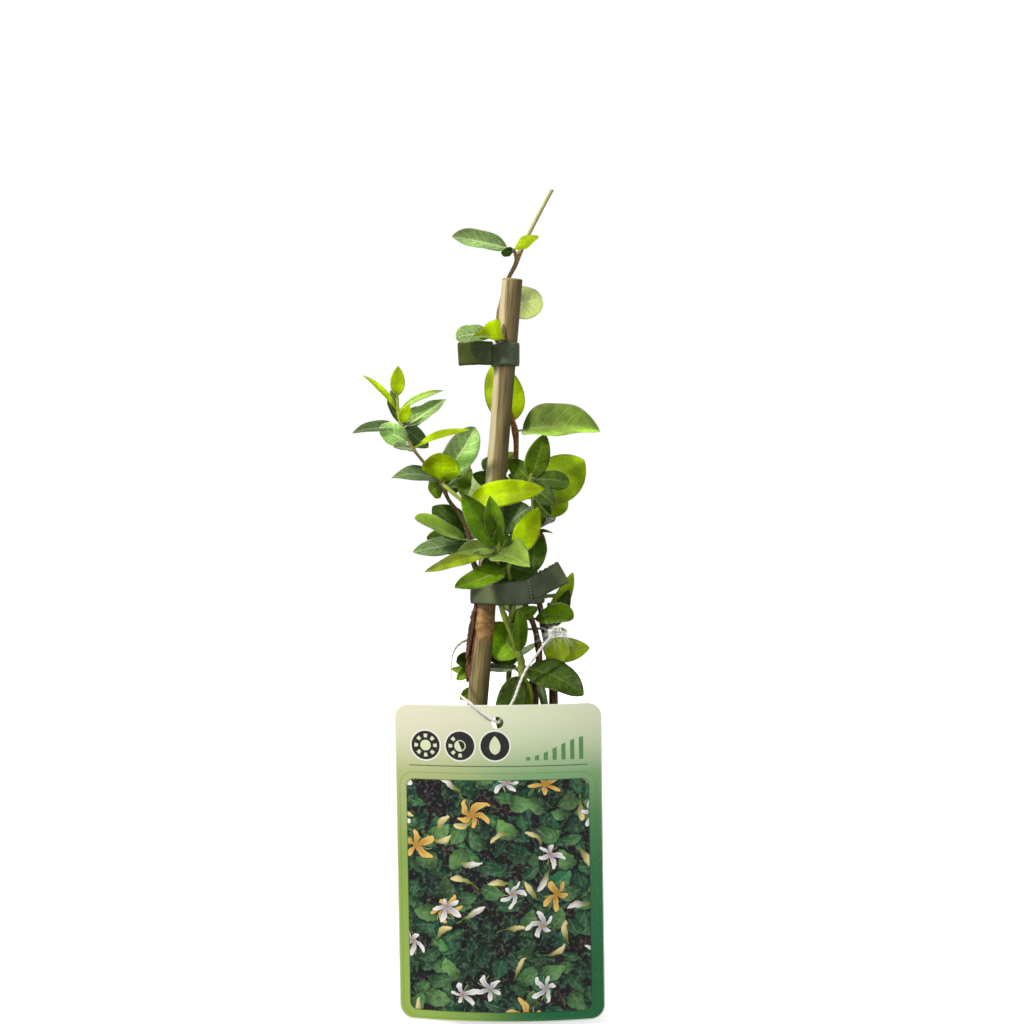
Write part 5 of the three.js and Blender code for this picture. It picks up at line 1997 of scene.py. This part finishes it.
@dataclass
class LabelString:
    """The white thread that the label hangs on, and the frayed knot that closes its loop.

    Its route runs from the knot to the label's hole, over its edge and round the stems.
    """

    route: Route = Route(
        (
            (25, -12.3, 176.1), (23, -12.5, 174), (19.2, -12.6, 169.3), (13.1, -14, 161),
            (9.7, -20, 154.6), (6.9, -31, 148.6), (3.3, -41, 144), (0.6, -46.2, 140.9),
            (-0.4, -48.5, 140.3), (-2.4, -49.8, 141.3),
            (-8.5, -49.3, 145.4), (-11.4, -49, 147.8), (-13.4, -47.9, 149.4), (-16.8, -44.8, 151.4),
            (-20.1, -38.5, 154), (-22.2, -29.5, 156.6), (-22.8, -19, 158.8), (-23, -8, 162), (-22.5, 2, 166),
            (-19.5, 11, 169.6), (-13, 16.5, 172), (-3, 19, 174), (9, 19.5, 175.4), (21.5, 17, 176.6),
            (28.5, 10, 177.2), (31.3, 0, 177.4), (31.2, -6.5, 177.4), (29.6, -10.6, 177.7),
        )
    )
    radius: float = 0.6
    step: float = 0.4
    sides: int = 18
    strands: int = 3
    strand_depth: float = 0.13
    turns_per_length: float = 0.26
    relief: float = 0.12
    grain: float = 2.6
    fuzz_per_length: float = 4.2
    fuzz_reach: float = 0.6
    fuzz_thickness: float = 0.03
    fuzz_lean: float = 0.9
    fuzz_shares: tuple[float, float] = (0.4, 1.6)
    knot_centre: Point = (27, -12, 178)
    knot_radius: float = 1.55
    knot_thread: float = 0.52
    knot_lobe: float = 0.42
    knot_depth: float = 0.55
    wisp_ways: tuple[Point, ...] = ((-0.45, -0.5, -0.05), (0.85, -0.4, -0.25))
    wisp_length: float = 4.0
    wisp_taper: float = 0.35
    fibres: int = 110
    fibre_length: float = 5.5
    fibre_radius: float = 0.035
    fibre_taper: float = 0.6
    fibre_shares: tuple[float, float] = (0.45, 1.0)
    fibre_spread: float = 0.75
    fibre_curl: float = 0.7
    seed: int = 5

    def loop_line(self) -> Array:
        """Gives the string's fine rows."""
        rows, _ = self.route.even(self.step)
        return np.column_stack([rows, np.full(len(rows), self.radius)])

    def knot_lines(self) -> list[Array]:
        """Gives the knot's own loops, as a trefoil, and its two loose ends.

        Returns:
            Rows of x, y, z and radius for each line.
        """
        t = np.linspace(0, math.tau, 97)
        ring = 1 + self.knot_lobe * np.cos(3 * t)
        shape = np.stack([ring * np.cos(2 * t), self.knot_depth * np.sin(3 * t), ring * np.sin(2 * t)], -1)
        centre = np.asarray(self.knot_centre)
        lines = [np.column_stack([centre + shape * self.knot_radius, np.full(len(t), self.knot_thread)])]
        s = np.linspace(0, 1, 14)[:, None]
        for way in self.wisp_ways:
            points = centre + unit(np.asarray(way)) * self.wisp_length * s
            points[:, 2:] += self.wisp_length * s * (1 - s)
            lines.append(np.column_stack([points, self.knot_thread * (1 - self.wisp_taper * s)]))
        return lines

    def spun(self, tree: TubeTree, name: str, lines: Sequence[Array]) -> Piece:
        """Spins twisted thread along lines of x, y, z and radius.

        Args:
            tree: The tree that grows it.
            name: The piece's name.
            lines: The lines.

        Returns:
            The piece.
        """
        guide = Mesh()
        for rows in lines:
            guide.line(rows, bark=np.ones(len(rows)))
        sizes = {
            "Sides": self.sides,
            "Lobes": float(self.strands),
            "Depth": self.strand_depth,
            "Twist": math.tau * self.turns_per_length / self.strands,
            "Relief": self.relief,
            "Grain": self.grain,
        }
        return tree.grow(guide, name, THREAD, **sizes)

    def frayed(self, tree: TubeTree) -> Piece:
        """Makes the fibres that the knot's loose ends come apart into.

        Args:
            tree: The tree that grows them.

        Returns:
            The piece.
        """
        draw = np.random.default_rng(self.seed + 1)
        guide = Mesh()
        s = np.linspace(0, 1, 9)[:, None]
        for line in self.knot_lines()[1:]:
            end = line[-1, :3]
            way = unit(end - line[-2, :3])
            for _ in range(self.fibres):
                spread = unit(way + draw.normal(scale=self.fibre_spread, size=3))
                curl = draw.normal(scale=self.fibre_curl, size=3)
                reach = self.fibre_length * draw.uniform(*self.fibre_shares)
                points = end - way * self.radius + reach * (spread * s + curl * s * s)
                guide.line(np.column_stack([points, self.fibre_radius * (1 - self.fibre_taper * s)]))
        return tree.grow(guide, "string_knot_fibres", COTTON, Sides=5)

    def fuzz(self, tree: BristleTree, lines: Sequence[Array]) -> Piece:
        """Makes the loose fibres along the thread.

        Args:
            tree: The tree that grows them.
            lines: The thread's lines.

        Returns:
            The piece.
        """
        draw = np.random.default_rng(self.seed)
        guide = Mesh()
        for rows in lines:
            length = np.linalg.norm(np.diff(rows[:, :3], axis=0), axis=1).sum()
            picked = draw.integers(1, len(rows) - 1, int(length * self.fuzz_per_length))
            points, out, along = rooted(rows, picked, draw)
            ways = unit(out + along * draw.normal(scale=self.fuzz_lean, size=(len(picked), 1)))
            reach = draw.uniform(*self.fuzz_shares, len(picked)) * self.fuzz_reach
            guide.add(points, way=ways, reach=reach)
        return tree.grow(guide, "string_fuzz", COTTON, Thickness=self.fuzz_thickness, Seed=self.seed)

    def build(self, tubes: TubeTree, bristles: BristleTree) -> None:
        """Args:
            tubes: The tree that spins thread.
            bristles: The tree that grows fuzz.
        """
        loop, knot_lines = self.loop_line(), self.knot_lines()
        string = settle(self.spun(tubes, "label_string_thread", [loop]), "label_string")
        knot = settle(self.spun(tubes, "string_knot_loops", knot_lines), "string_knot")
        frayed = settle(self.frayed(tubes), "string_knot")
        fuzz = settle(self.fuzz(bristles, [loop, *knot_lines]), "label_string")
        path = loop[:, :3] * MILLIMETRE
        path = [tuple(float(value) for value in point) for point in path]
        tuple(path[0])


@dataclass
class Cane:
    """The bamboo cane, which leans a little to the right."""

    foot: Point = (-22, 0, 4)
    head: Point = (6.2, 0, 344.5)
    radius: float = 4.9
    ring_heights: tuple[float, ...] = (181.0, 62.0)
    swell: float = 0.5
    swell_drop: float = 0.6
    swell_height: float = 2.4
    groove_rise: float = 0.9
    groove_height: float = 0.35
    groove_share: float = 0.7
    fibre_depth: float = 0.05
    fibre_scale: float = 9
    fibre_pitch: float = 0.04
    hollow_depth: float = 0.12
    hollow_scale: float = 0.12
    sides: int = 72
    step: float = 1.2
    # share of the radius, and depth under the head, from the edge to the middle of the cut top
    top: tuple[Point, ...] = ((1.0, 0.6), (0.97, 0.2), (0.9, 0.0), (0.6, 0.1), (0.3, 0.3), (0.02, 0.4))

    def radii(self, heights: Array) -> Array:
        """Gives the radius at heights, all round: growth rings, a shallow groove and fine fibres.

        Args:
            heights: Heights up the cane.

        Returns:
            A radius for each height and side.
        """
        shape = np.full((len(heights), self.sides), self.radius)
        for level in self.ring_heights:
            above = (heights - level)[:, None]
            shape += self.swell * np.exp(-(((above + self.swell_drop) / self.swell_height) ** 2))
            groove = np.exp(-(((above - self.groove_rise) / self.groove_height) ** 2))
            shape -= self.swell * self.groove_share * groove
        for row, z in enumerate(heights):
            for column, (x, y) in enumerate(circle(self.sides) * self.fibre_scale):
                at = Vector((x, y, z * self.fibre_pitch))
                fine, broad = noise.noise(at), noise.noise(at * self.hollow_scale)
                shape[row, column] += self.fibre_depth * fine + self.hollow_depth * broad
        return shape

    def build(self) -> None:
        """Makes the cane."""
        foot, head = np.asarray(self.foot), np.asarray(self.head)
        along = unit(head - foot)
        across = np.array([0.0, 1.0, 0.0])
        length = np.linalg.norm(head - foot)
        places = np.linspace(0, length - self.top[0][1], round(length / self.step))
        radii = self.radii(foot[2] + places * along[2])
        edge = radii[-1]
        for share, depth in self.top[1:]:
            places = np.append(places, length - depth)
            radii = np.vstack([radii, edge * share])
        ring = circle(self.sides) @ np.array([across, np.cross(across, along)])
        points = foot + along * places[:, None, None] + ring * radii[..., None]
        lean = math.atan2(along[0], along[2])
        axis = foot[0] * math.cos(lean) - foot[2] * math.sin(lean)
        finish = BambooFinish("bamboo_cane_skin", lean, axis, self.ring_heights, head[2])
        mesh = Mesh().add(points.reshape(-1, 3), skin_faces(*radii.shape))
        settle(mesh.made("bamboo_cane_fibres", finish), "bamboo_cane")


def ribbon(middle: Array, up: Array, edges: Array, thickness: float, closed: bool = False) -> Part:
    """Gives a strip of tape on edge, with rounded edges.

    Args:
        middle: Points along its middle.
        up: The way across the tape at each point.
        edges: For each point, how far the lower and upper edges stand from the middle.
        thickness: The tape's thickness.
        closed: Whether the strip is a closed band.

    Returns:
        Its points and faces.
    """
    along = np.gradient(middle, axis=0)
    if closed:
        along = np.roll(middle, -1, axis=0) - np.roll(middle, 1, axis=0)
    through = unit(np.cross(along, up))
    h = np.linspace(-1, 1, 13)
    half = thickness / 2 * np.sqrt(np.clip(1 - np.abs(h) ** 10, 0, 1))
    levels = np.concatenate([h, h[-2:0:-1]])
    sides = np.concatenate([half, -half[-2:0:-1]])
    reach = np.where(levels < 0, edges[:, :1], edges[:, 1:]) * levels
    points = middle[:, None] + up[:, None] * reach[..., None] + through[:, None] * sides[:, None]
    return points.reshape(-1, 3), skin_faces(len(middle), len(levels), closed)


def waves(count: int, step: float, *places: tuple[float, float]) -> Array:
    """Gives smooth random waves along a number of points, one for each place in the noise."""
    return np.array([[noise.noise(Vector((i * step, *place))) for place in places] for i in range(count)])


@dataclass
class Tie:
    """A band of soft tape round the stems, and its free end, folded double."""

    node: str
    finishes: tuple[TapeFinish, ...]
    bottom: float
    band: tuple[Point, ...]
    tail: tuple[Point, ...]
    tail_gap: float
    seed: int
    ragged: float = 0.0
    slant: float = 0.0
    width: float = 11.0
    thickness: float = 0.5
    band_gain: float = 1.3
    wave: float = 0.6
    wave_pitch: float = 0.07
    rag_pitch: float = 0.55
    edge_wave: float = 0.7
    slant_span: float = 17.0
    step: float = 0.5

    def wavy(self, count: int, size: float, shift: int) -> Array:
        """Gives a soft wave for each edge, along a number of points."""
        return waves(count, self.wave_pitch, (0, self.seed + shift), (7.3, self.seed + shift)) * size

    def band_part(self) -> Part:
        """Makes the closed band, whose waves fade where its loop closes.

        Returns:
            The band's points and faces.
        """
        rows, _ = Route(tuple((*point, self.bottom) for point in self.band), closed=True).even(self.step)
        fade = np.sin(np.pi * np.arange(len(rows)) / len(rows))[:, None]
        edges = self.width / 2 + self.wavy(len(rows), self.edge_wave, 0) * fade
        edges[:, 1] += self.slant * rows[:, 0] / self.slant_span
        rows[:, 2:] += self.width / 2 + self.wavy(len(rows), self.wave, 3)[:, :1] * fade
        up = np.tile([0.0, 0.0, 1.0], (len(rows), 1))
        return ribbon(rows, up, edges, self.thickness * self.band_gain, True)

    def tail_part(self) -> Part:
        """Makes the free end: out, round a tight fold, and back.

        Returns:
            The end's points and faces.
        """
        rows, _ = Route(self.tail).even(self.step)
        along = unit(np.gradient(rows, axis=0))
        through = unit(np.cross(along, (0.0, 0.0, 1.0)))
        shift = through * self.tail_gap
        turn = np.linspace(0, np.pi, 7)[1:-1]
        fold = rows[-1] + arc(turn) @ np.array([through[-1], along[-1]]) * self.tail_gap
        middle = np.vstack([rows + shift, fold, (rows - shift)[::-1]])
        up = np.cross(through, along)
        up = unit(up * np.sign(up[:, 2:]))
        up = np.vstack([up, np.tile(up[-1], (len(fold), 1)), up[::-1]])
        edges = self.width / 2 + self.wavy(len(middle), self.wave, 9)
        edges[:, 1:] += waves(len(middle), self.rag_pitch, (self.seed, 0)) * self.ragged
        return ribbon(middle, up, edges, self.thickness)

    def build(self) -> None:
        """Makes the tie."""
        mesh = Mesh().add(*self.band_part()).add(*self.tail_part(), slot=len(self.finishes) - 1)
        settle(mesh.made(self.node + "_tape", *self.finishes), self.node)


@dataclass
class Stitches:
    """The row of pale crimps that closes the lower tie."""

    start: Point = (13.3, -10.5, 203.0)
    end: Point = (15.3, -10.1, 194.5)
    count: int = 7
    length: float = 0.85
    thickness: float = 0.2

    def build(self, tree: StitchTree) -> None:
        """Makes the crimps.

        Args:
            tree: The tree that sets them.
        """
        guide = Mesh().line(np.array([(*self.start, self.thickness), (*self.end, self.thickness)]))
        sizes = {"Count": self.count, "Length": self.length, "Thickness": self.thickness}
        settle(tree.grow(guide, "tie_lower_crimps", CRIMP, **sizes), "tie_lower")


@dataclass
class PeelingBark:
    """Ragged plates of bark that hang from the woody branch, along the cane's left side."""

    route: Route = Route(
        (
            (-9.8, -3.4, 191.5), (-11.2, -3.4, 183), (-12.4, -2.8, 174), (-13.2, -2.2, 165),
            (-13.5, -1.8, 158), (-13.6, -1.6, 151.5),
        )
    )
    plates: int = 17
    early_plates: int = 5
    early_start: float = 0.3
    latest_start: float = 0.55
    lengths: tuple[float, float] = (0.25, 0.7)
    sideways: tuple[float, float] = (-1.6, 1.8)
    backwards: tuple[float, float] = (-0.6, 2.6)
    curl: tuple[float, float] = (-1.4, 0.2)
    turn: tuple[float, float] = (-0.2, 1.1)
    twist: tuple[float, float] = (-0.8, 0.8)
    fullness: tuple[float, float] = (0.2, 0.55)
    raggedness: float = 0.35
    widest: float = 3.4
    narrowest: float = 0.12
    thickness: float = 0.4
    steps: int = 44
    seed: int = 77

    def build(self) -> None:
        """Makes the plates."""
        draw = random.Random(self.seed)
        mesh = Mesh()
        last = len(self.route.rows) - 1
        s = np.linspace(0, 1, self.steps)
        for plate in range(self.plates):
            late = plate >= self.early_plates
            start = draw.uniform(0, self.latest_start) * last if late else draw.uniform(0, self.early_start)
            end = min(last, start + draw.uniform(*self.lengths) * last)
            middle = self.route.at(np.linspace(start, end, self.steps))
            middle += (draw.uniform(*self.sideways), draw.uniform(*self.backwards), 0.0)
            middle[:, 0] += draw.uniform(*self.curl) * s**2
            turn = draw.uniform(*self.turn) + draw.uniform(*self.twist) * s
            up = np.column_stack([arc(-turn), np.zeros(self.steps)])
            outline = np.sin(np.pi * np.clip(s, 0.04, 0.97)) ** 0.5
            shape = self.widest * draw.uniform(*self.fullness) * outline
            rough = waves(self.steps, 0.35, (plate * 5.1, 0), (plate * 5.1, 9))
            widths = np.maximum(shape[:, None] * (1 + self.raggedness * rough), self.narrowest)
            mesh.add(*ribbon(middle, up, widths, self.thickness))
        settle(mesh.made("left_branch_bark_plates", BARK_STRIP), "vine_left_branch")


# ---- label, pot and soil


def border(block: Array) -> list[int]:
    """Gives the numbers round the edge of a block of them, anticlockwise."""
    return np.concatenate([block[0, :-1], block[:-1, -1], block[-1, :0:-1], block[:0:-1, 0]]).tolist()


@dataclass
class Label:
    """The bowed care label that hangs in front of the plant and leans on the pot's rim.

    Its sheet is an arc of a wide cylinder with rounded corners and a hole near its top.
    """

    width: float = 95.0
    height: float = 146.5
    thickness: float = 0.8
    corner: float = 6.5
    sag: float = 7.1
    hole_radius: float = 2.75
    hole_across: float = 0.3
    hole_below_top: float = 8.0
    centre: Point = (0.1, -46.9, 75.0)
    turns: Point = (1.1, -0.8, -3.6)
    columns: int = 97
    straight_rows: int = 120
    corner_rows: int = 12
    block: int = 5
    rings: int = 4

    def grid(self) -> Array:
        """Gives the flat sheet's rows of places, across and up, narrower in the rounded corners.

        Returns:
            The places, row by row.
        """
        half, top = self.width / 2 - self.corner, self.height / 2
        low = -top + self.corner * (1 - np.cos(np.linspace(0, np.pi / 2, self.corner_rows + 1)[:-1]))
        middle = np.linspace(self.corner - top, top - self.corner, self.straight_rows)
        z = np.concatenate([low, middle, -low[::-1]])
        into = np.clip(np.abs(z) - (top - self.corner), 0, self.corner)
        reach = half + np.sqrt(self.corner**2 - into**2)
        u = np.linspace(-1, 1, self.columns)
        return np.stack(np.broadcast_arrays(u * reach[:, None], z[:, None]), -1)

    def sheet(self) -> tuple[Array, Faces, list[list[int]]]:
        """Gives the flat sheet with its hole.

        Returns:
            Places across and up, the faces between them, and the outer and the hole's loops.
        """
        grid = self.grid()
        hole = np.array([self.hole_across, self.height / 2 - self.hole_below_top])
        row = int(np.argmin(np.abs(grid[:, 0, 1] - hole[1])))
        column = int(np.argmin(np.abs(grid[row, :, 0] - hole[0])))
        number = np.arange(grid[..., 0].size).reshape(grid.shape[:2])
        low, left, size = row - self.block, column - self.block, 2 * self.block
        kept = np.ones(number[1:, 1:].shape, bool)
        kept[low : low + size, left : left + size] = False
        corners = number[:-1, :-1], number[:-1, 1:], number[1:, 1:], number[1:, :-1]
        faces = np.stack(corners, -1)[kept].tolist()
        flat = grid.reshape(-1, 2)
        loop = border(number[low : low + size + 1, left : left + size + 1])
        square = flat[loop]
        out = square - hole
        round_hole = hole + self.hole_radius * unit(out)
        for share in np.arange(1, self.rings + 1) / self.rings:
            fresh = [len(flat) + i for i in range(len(loop))]
            flat = np.vstack([flat, square * (1 - share) + round_hole * share])
            faces += [[loop[i - 1], loop[i], fresh[i], fresh[i - 1]] for i in range(len(loop))]
            loop = fresh
        return flat, faces, [border(number), loop[::-1]]

    def build(self) -> None:
        """Makes the label: printed front, plain back and pale cut edge."""
        flat, faces, loops = self.sheet()
        half = self.width / 2
        radius = (half**2 + self.sag**2) / (2 * self.sag)
        x, z = flat.T
        front, back = (
            np.stack([x, radius - np.sqrt(r**2 - x**2), z], -1) for r in (radius + self.thickness, radius)
        )
        turned = np.array(Euler([math.radians(angle) for angle in self.turns], "XYZ").to_matrix())
        count = len(flat)
        mesh = Mesh().add(np.vstack([front, back]) @ turned.T + self.centre, print=np.vstack([flat, flat]))
        far_faces = [[count + i for i in face[::-1]] for face in faces]
        rims = [[a, a + count, b + count, b] for loop in loops for a, b in zip(loop, loop[1:] + loop[:1])]
        mesh.faces = faces + far_faces + rims
        mesh.slots = [0] * len(faces) + [1] * len(faces) + [2] * len(rims)
        front_finish = PrintFinish("label_print", (half, self.height / 2), self.corner)
        card = mesh.made("label_card", front_finish, CARD_BACK, CARD_EDGE)
        card.data.set_sharp_from_angle(angle=math.radians(50))
        settle(card, "label")


@dataclass
class Pot:
    """The round nursery pot, with its rim band, grip rings, stacking ribs and drain holes, and its soil."""

    rim_radius: float = 46.0
    band_height: float = 9.0
    band_step: float = 1.6
    base_radius: float = 33.0
    height: float = 84.0
    wall: float = 1.4
    floor: float = 2.0
    foot_inset: float = 3.0
    foot_height: float = 0.8
    edge: float = 0.6
    lip: float = 0.3
    axis_gap: float = 0.2
    sides: int = 144
    ribs: int = 36
    rib_radius: float = 0.7
    rib_span: tuple[float, float] = (4.0, 58.0)
    drain_holes: int = 6
    drain_radius: float = 3.2
    drain_ring: float = 22.0
    grip_heights: tuple[float, ...] = (68.5, 65.5, 62.5)
    grip_depth: float = 0.45
    grip_height: float = 0.5
    soil_edge: float = 72.0
    # share of the soil's radius, and height
    soil_surface: tuple[Point, ...] = ((0.0, 77.0), (0.35, 75.5), (0.7, 73.5), (1.0, 72.0))

    def outer_radius(self, z: Array | float) -> Array | float:
        """Gives the outer wall's radius under the rim band."""
        body_top = self.height - self.band_height
        return self.base_radius + (self.rim_radius - self.band_step - self.base_radius) * z / body_top

    def profile(self) -> Array:
        """Gives the pot's outline, from the middle of its underside round to the middle of its floor.

        Returns:
            Rows of radius and height.
        """
        body_top = self.height - self.band_height
        z = np.linspace(self.foot_height, body_top - 0.4, 110)
        grips = sum(np.exp(-(((z - level) / self.grip_height) ** 2)) for level in self.grip_heights)
        outer = np.stack([self.outer_radius(z) - 0.1 + grips * self.grip_depth, z], -1)
        turn = np.linspace(0, np.pi / 2, 6)
        corner = self.rim_radius - self.edge
        low = (corner, body_top + self.edge) + self.edge * arc(turn - np.pi / 2)
        high = (corner, self.height - self.edge) + self.edge * arc(turn)
        inside = self.rim_radius - self.wall
        lip = [(inside + self.lip, self.height), (inside, self.height - self.lip)]
        step = [(inside - 0.1, body_top + 0.8), (self.outer_radius(body_top) - self.wall, body_top)]
        well = self.outer_radius(self.floor) - self.wall
        bottom = [(well, self.floor + 0.6), (well - 0.8, self.floor), (self.axis_gap, self.floor)]
        foot = [(self.axis_gap, 0.0), (self.base_radius - self.foot_inset, 0.0)]
        return np.vstack([foot, outer, low, high, lip, step, bottom])

    def shell(self) -> Piece:
        """Makes the pot, with its drain holes cut.

        Returns:
            The piece.
        """
        pot = Mesh().add(*lathe(self.profile(), self.sides)).made("pot_shell", POT_PLASTIC)
        drills = Mesh()
        turn = math.tau * (np.arange(self.drain_holes) + 0.5) / self.drain_holes
        for x, y in arc(turn) * self.drain_ring:
            ends = [(x, y, z, self.drain_radius) for z in (-self.floor, 2 * self.floor)]
            drills.add(*upright_rod(np.array(ends), 40))
        tool = drills.made("drain_drills")
        cut = pot.modifiers.new("drain_holes", "BOOLEAN")
        cut.operation = "DIFFERENCE"
        cut.solver = "EXACT"
        cut.object = tool
        scene = bpy.context.evaluated_depsgraph_get()
        drained = bpy.data.meshes.new_from_object(pot.evaluated_get(scene), depsgraph=scene)
        pot.modifiers.remove(cut)
        pot.data = drained
        bpy.data.objects.remove(tool)
        drained.set_sharp_from_angle(angle=math.radians(45))
        return pot

    def rib(self) -> Mesh:
        """Makes one upright rib, sunk into the wall.

        Returns:
            The rib's mesh.
        """
        z = np.linspace(*self.rib_span, 12)
        rows = np.stack([self.outer_radius(z) - self.rib_radius / 2, 0 * z, z, 0 * z + self.rib_radius], -1)
        rows[[0, -1], 3] /= 2
        return Mesh().add(*upright_rod(rows, 8))

    def soil(self, crumbs: CrumbTree) -> None:
        """Makes the soil: a lumpy mound, loose crumbs, bits of bark and white perlite.

        Args:
            crumbs: The tree that strews crumbs.
        """
        reach = self.outer_radius(self.soil_edge) - self.wall - 0.4
        shares = np.linspace(1, 0.01, 60)
        mound = np.stack([shares * reach, np.interp(shares, *np.array(self.soil_surface).T)], -1)
        low = self.outer_radius(self.floor) - self.wall - 0.6
        walls = [(self.axis_gap, self.floor + 0.3), (low, self.floor + 0.3)]
        points, faces = lathe(np.vstack([walls, mound]), self.sides)
        for point in points[2 * self.sides :]:
            at = Vector(point)
            rough = noise.noise(at * 0.16) * 0.9 + noise.noise(at * 0.52) * 0.6
            point[2] += rough * min(1.0, (reach - math.hypot(*point[:2])) / 2 + 0.2)
        settle(Mesh().add(points, faces).made("soil_mound", PEAT), "soil")
        for name, finish, density, small, large, flatness, seed in (
            ("soil_crumbs", CRUMB, 0.42, 0.4, 1.6, 0.8, 21),
            ("soil_bark_bits", BARK_STRIP, 0.026, 1.0, 3.2, 0.35, 22),
            ("soil_perlite", PERLITE, 0.011, 0.5, 1.5, 0.9, 23),
        ):
            points, faces = lathe(mound[mound[:, 0] < reach - 1.2], self.sides)
            guide = Mesh().add(points, faces[:-2])
            sizes = {"Density": density, "Small": small, "Large": large, "Flatness": flatness, "Seed": seed}
            settle(crumbs.grow(guide, name, finish, **sizes), "soil")

    def build(self, ribs: RibTree, crumbs: CrumbTree) -> None:
        """Makes the pot and what fills it.

        Args:
            ribs: The tree that repeats the rib.
            crumbs: The tree that strews crumbs.
        """
        settle(self.shell(), "pot")
        settle(ribs.grow(self.rib(), "pot_ribs", POT_PLASTIC, Count=self.ribs), "pot")
        self.soil(crumbs)


# ---- studio


@dataclass
class Studio:
    """The pale floor with its curved walls, the lights, and the camera, in metres."""

    flat_radius: float = 1.2
    floor_radius: float = 2.4
    wall_radius: float = 0.9
    wall_height: float = 1.6
    sides: int = 96
    sky: float = 0.4
    camera_place: Point = (0.006, -0.95, 0.275)
    camera_pitch: float = -2.48
    lens: float = 70.2
    target: Point = (0.0, 0.0, 0.21)
    # name, place, size, power in watts and tint of each light
    lights: tuple[tuple[str, Point, float, float, str], ...] = (
        ("key", (-0.75, -0.55, 1.05), 0.16, 18.0, "fff8ea"),
        ("back", (-0.35, 0.95, 0.95), 0.5, 14.0, "fffbee"),
        ("fill", (0.8, -0.9, 0.45), 0.8, 2.5, "f6faff"),
    )

    def hung(self, name: str, data: bpy.types.ID, place: Point, turn: Euler) -> Piece:
        """Puts a light or a camera in its place.

        Args:
            name: Its name.
            data: The light or the camera.
            place: Where it is.
            turn: How it is turned.

        Returns:
            The object.
        """
        made = shown(name, data)
        made.location = place
        made.rotation_euler = turn
        return made

    def camera(self) -> None:
        """Sets up the camera."""
        data = bpy.data.cameras.new("camera")
        data.lens = self.lens
        data.clip_start = 0.02
        turn = Euler((math.radians(90 + self.camera_pitch), 0, 0))
        bpy.context.scene.camera = self.hung("camera", data, self.camera_place, turn)

    def floor(self) -> None:
        """Makes the floor, which rises to a wall all round in one smooth curve."""
        turn = np.linspace(-np.pi / 2, 0, 12)
        cove = (self.floor_radius, self.wall_radius) + self.wall_radius * arc(turn)
        flat = [(0.01, 0.0), (self.flat_radius, 0.0)]
        top = [(self.floor_radius + self.wall_radius, self.wall_height)]
        points, faces = lathe(np.vstack([flat, cove, top]), self.sides)
        floor = Mesh().add(points, [face[::-1] for face in faces[:-1]]).made("studio_floor", STUDIO, scale=1)
        # the floor is seen, but throws no light of its own up at the plant
        floor.visible_diffuse = False
        floor.visible_glossy = False

    def light(self) -> None:
        """Sets the sky's brightness and hangs the lights, each turned to the plant."""
        world = bpy.data.worlds.new("studio_sky")
        world.use_nodes = True
        sky = world.node_tree.nodes["Background"]
        sky.inputs["Color"].default_value = (*colour("fbfcff"), 1)
        sky.inputs["Strength"].default_value = self.sky
        bpy.context.scene.world = world
        for name, place, size, power, tint in self.lights:
            data = bpy.data.lights.new(name, "AREA")
            data.shape = "DISK"
            data.size = size
            data.energy = power
            data.color = colour(tint)
            turn = (Vector(self.target) - Vector(place)).to_track_quat("-Z", "Y").to_euler()
            self.hung(name, data, place, turn).visible_camera = False

    def build(self) -> None:
        """Sets up the camera, the floor and the lights."""
        bpy.context.scene.view_settings.view_transform = "Standard"
        self.camera()
        self.floor()
        self.light()


TIES = (
    # the upper tie holds the climbing stem to the cane, its end standing out to the left; its band is a paler
    # copy of the tape, with painted sheen
    Tie(
        node="tie_upper",
        finishes=(PAINTED_SHEEN_TAPE, UPPER_TAPE),
        bottom=303.2,
        band=(
            (9.3, 0.0), (7.6, 4.3), (3.3, 6.6), (-0.8, 7.0), (-3.2, 6.4),
            (-4.1, 4.4), (-3.3, 0.0), (-1.1, -4.1), (3.3, -6.0), (7.6, -4.3),
        ),
        tail=((-3.2, -0.8, 309.2), (-7.0, -1.6, 309.2), (-12.0, -2.4, 309.2), (-19.0, -2.6, 308.8)),
        tail_gap=0.36,
        seed=3,
    ),
    # the lower tie goes round the cane and all the stems, its end pointing up to the right
    Tie(
        node="tie_lower",
        finishes=(LOWER_TAPE,),
        bottom=190.4,
        band=(
            (-13.6, 4.0), (-12.4, -4.6), (-4.0, -10.8), (4.0, -12.2), (13.6, -9.8), (19.8, -3.0),
            (21.2, 6.0), (16.5, 12.4), (6.0, 14.9), (-6.0, 14.0), (-12.4, 11.2),
        ),
        tail=((14.5, -9.2, 198.0), (20.0, -8.2, 200.4), (25.0, -7.2, 202.8), (30.0, -7.0, 205.6)),
        tail_gap=0.3,
        seed=8,
        ragged=1.2,
        slant=2.2,
    ),
)


def write_sizes() -> None:
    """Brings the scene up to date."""
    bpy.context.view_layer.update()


def main() -> None:
    """Builds the studio, then each sub-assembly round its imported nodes."""
    logging.basicConfig(level=logging.INFO, format="%(name)s: %(message)s")
    Studio().build()
    tubes, bristles = TubeTree(), BristleTree()
    LabelString().build(tubes, bristles)
    for vine in (CLIMBING_STEM, LEFT_BRANCH, FRONT_SHOOT, RIGHT_SHOOT, BACK_SHOOT):
        vine.build(tubes, bristles)
    Cane().build()
    for tie in TIES:
        tie.build()
    Stitches().build(StitchTree())
    PeelingBark().build()
    Label().build()
    Pot().build(RibTree(), CrumbTree())
    write_sizes()


if __name__ == "__main__":
    main()
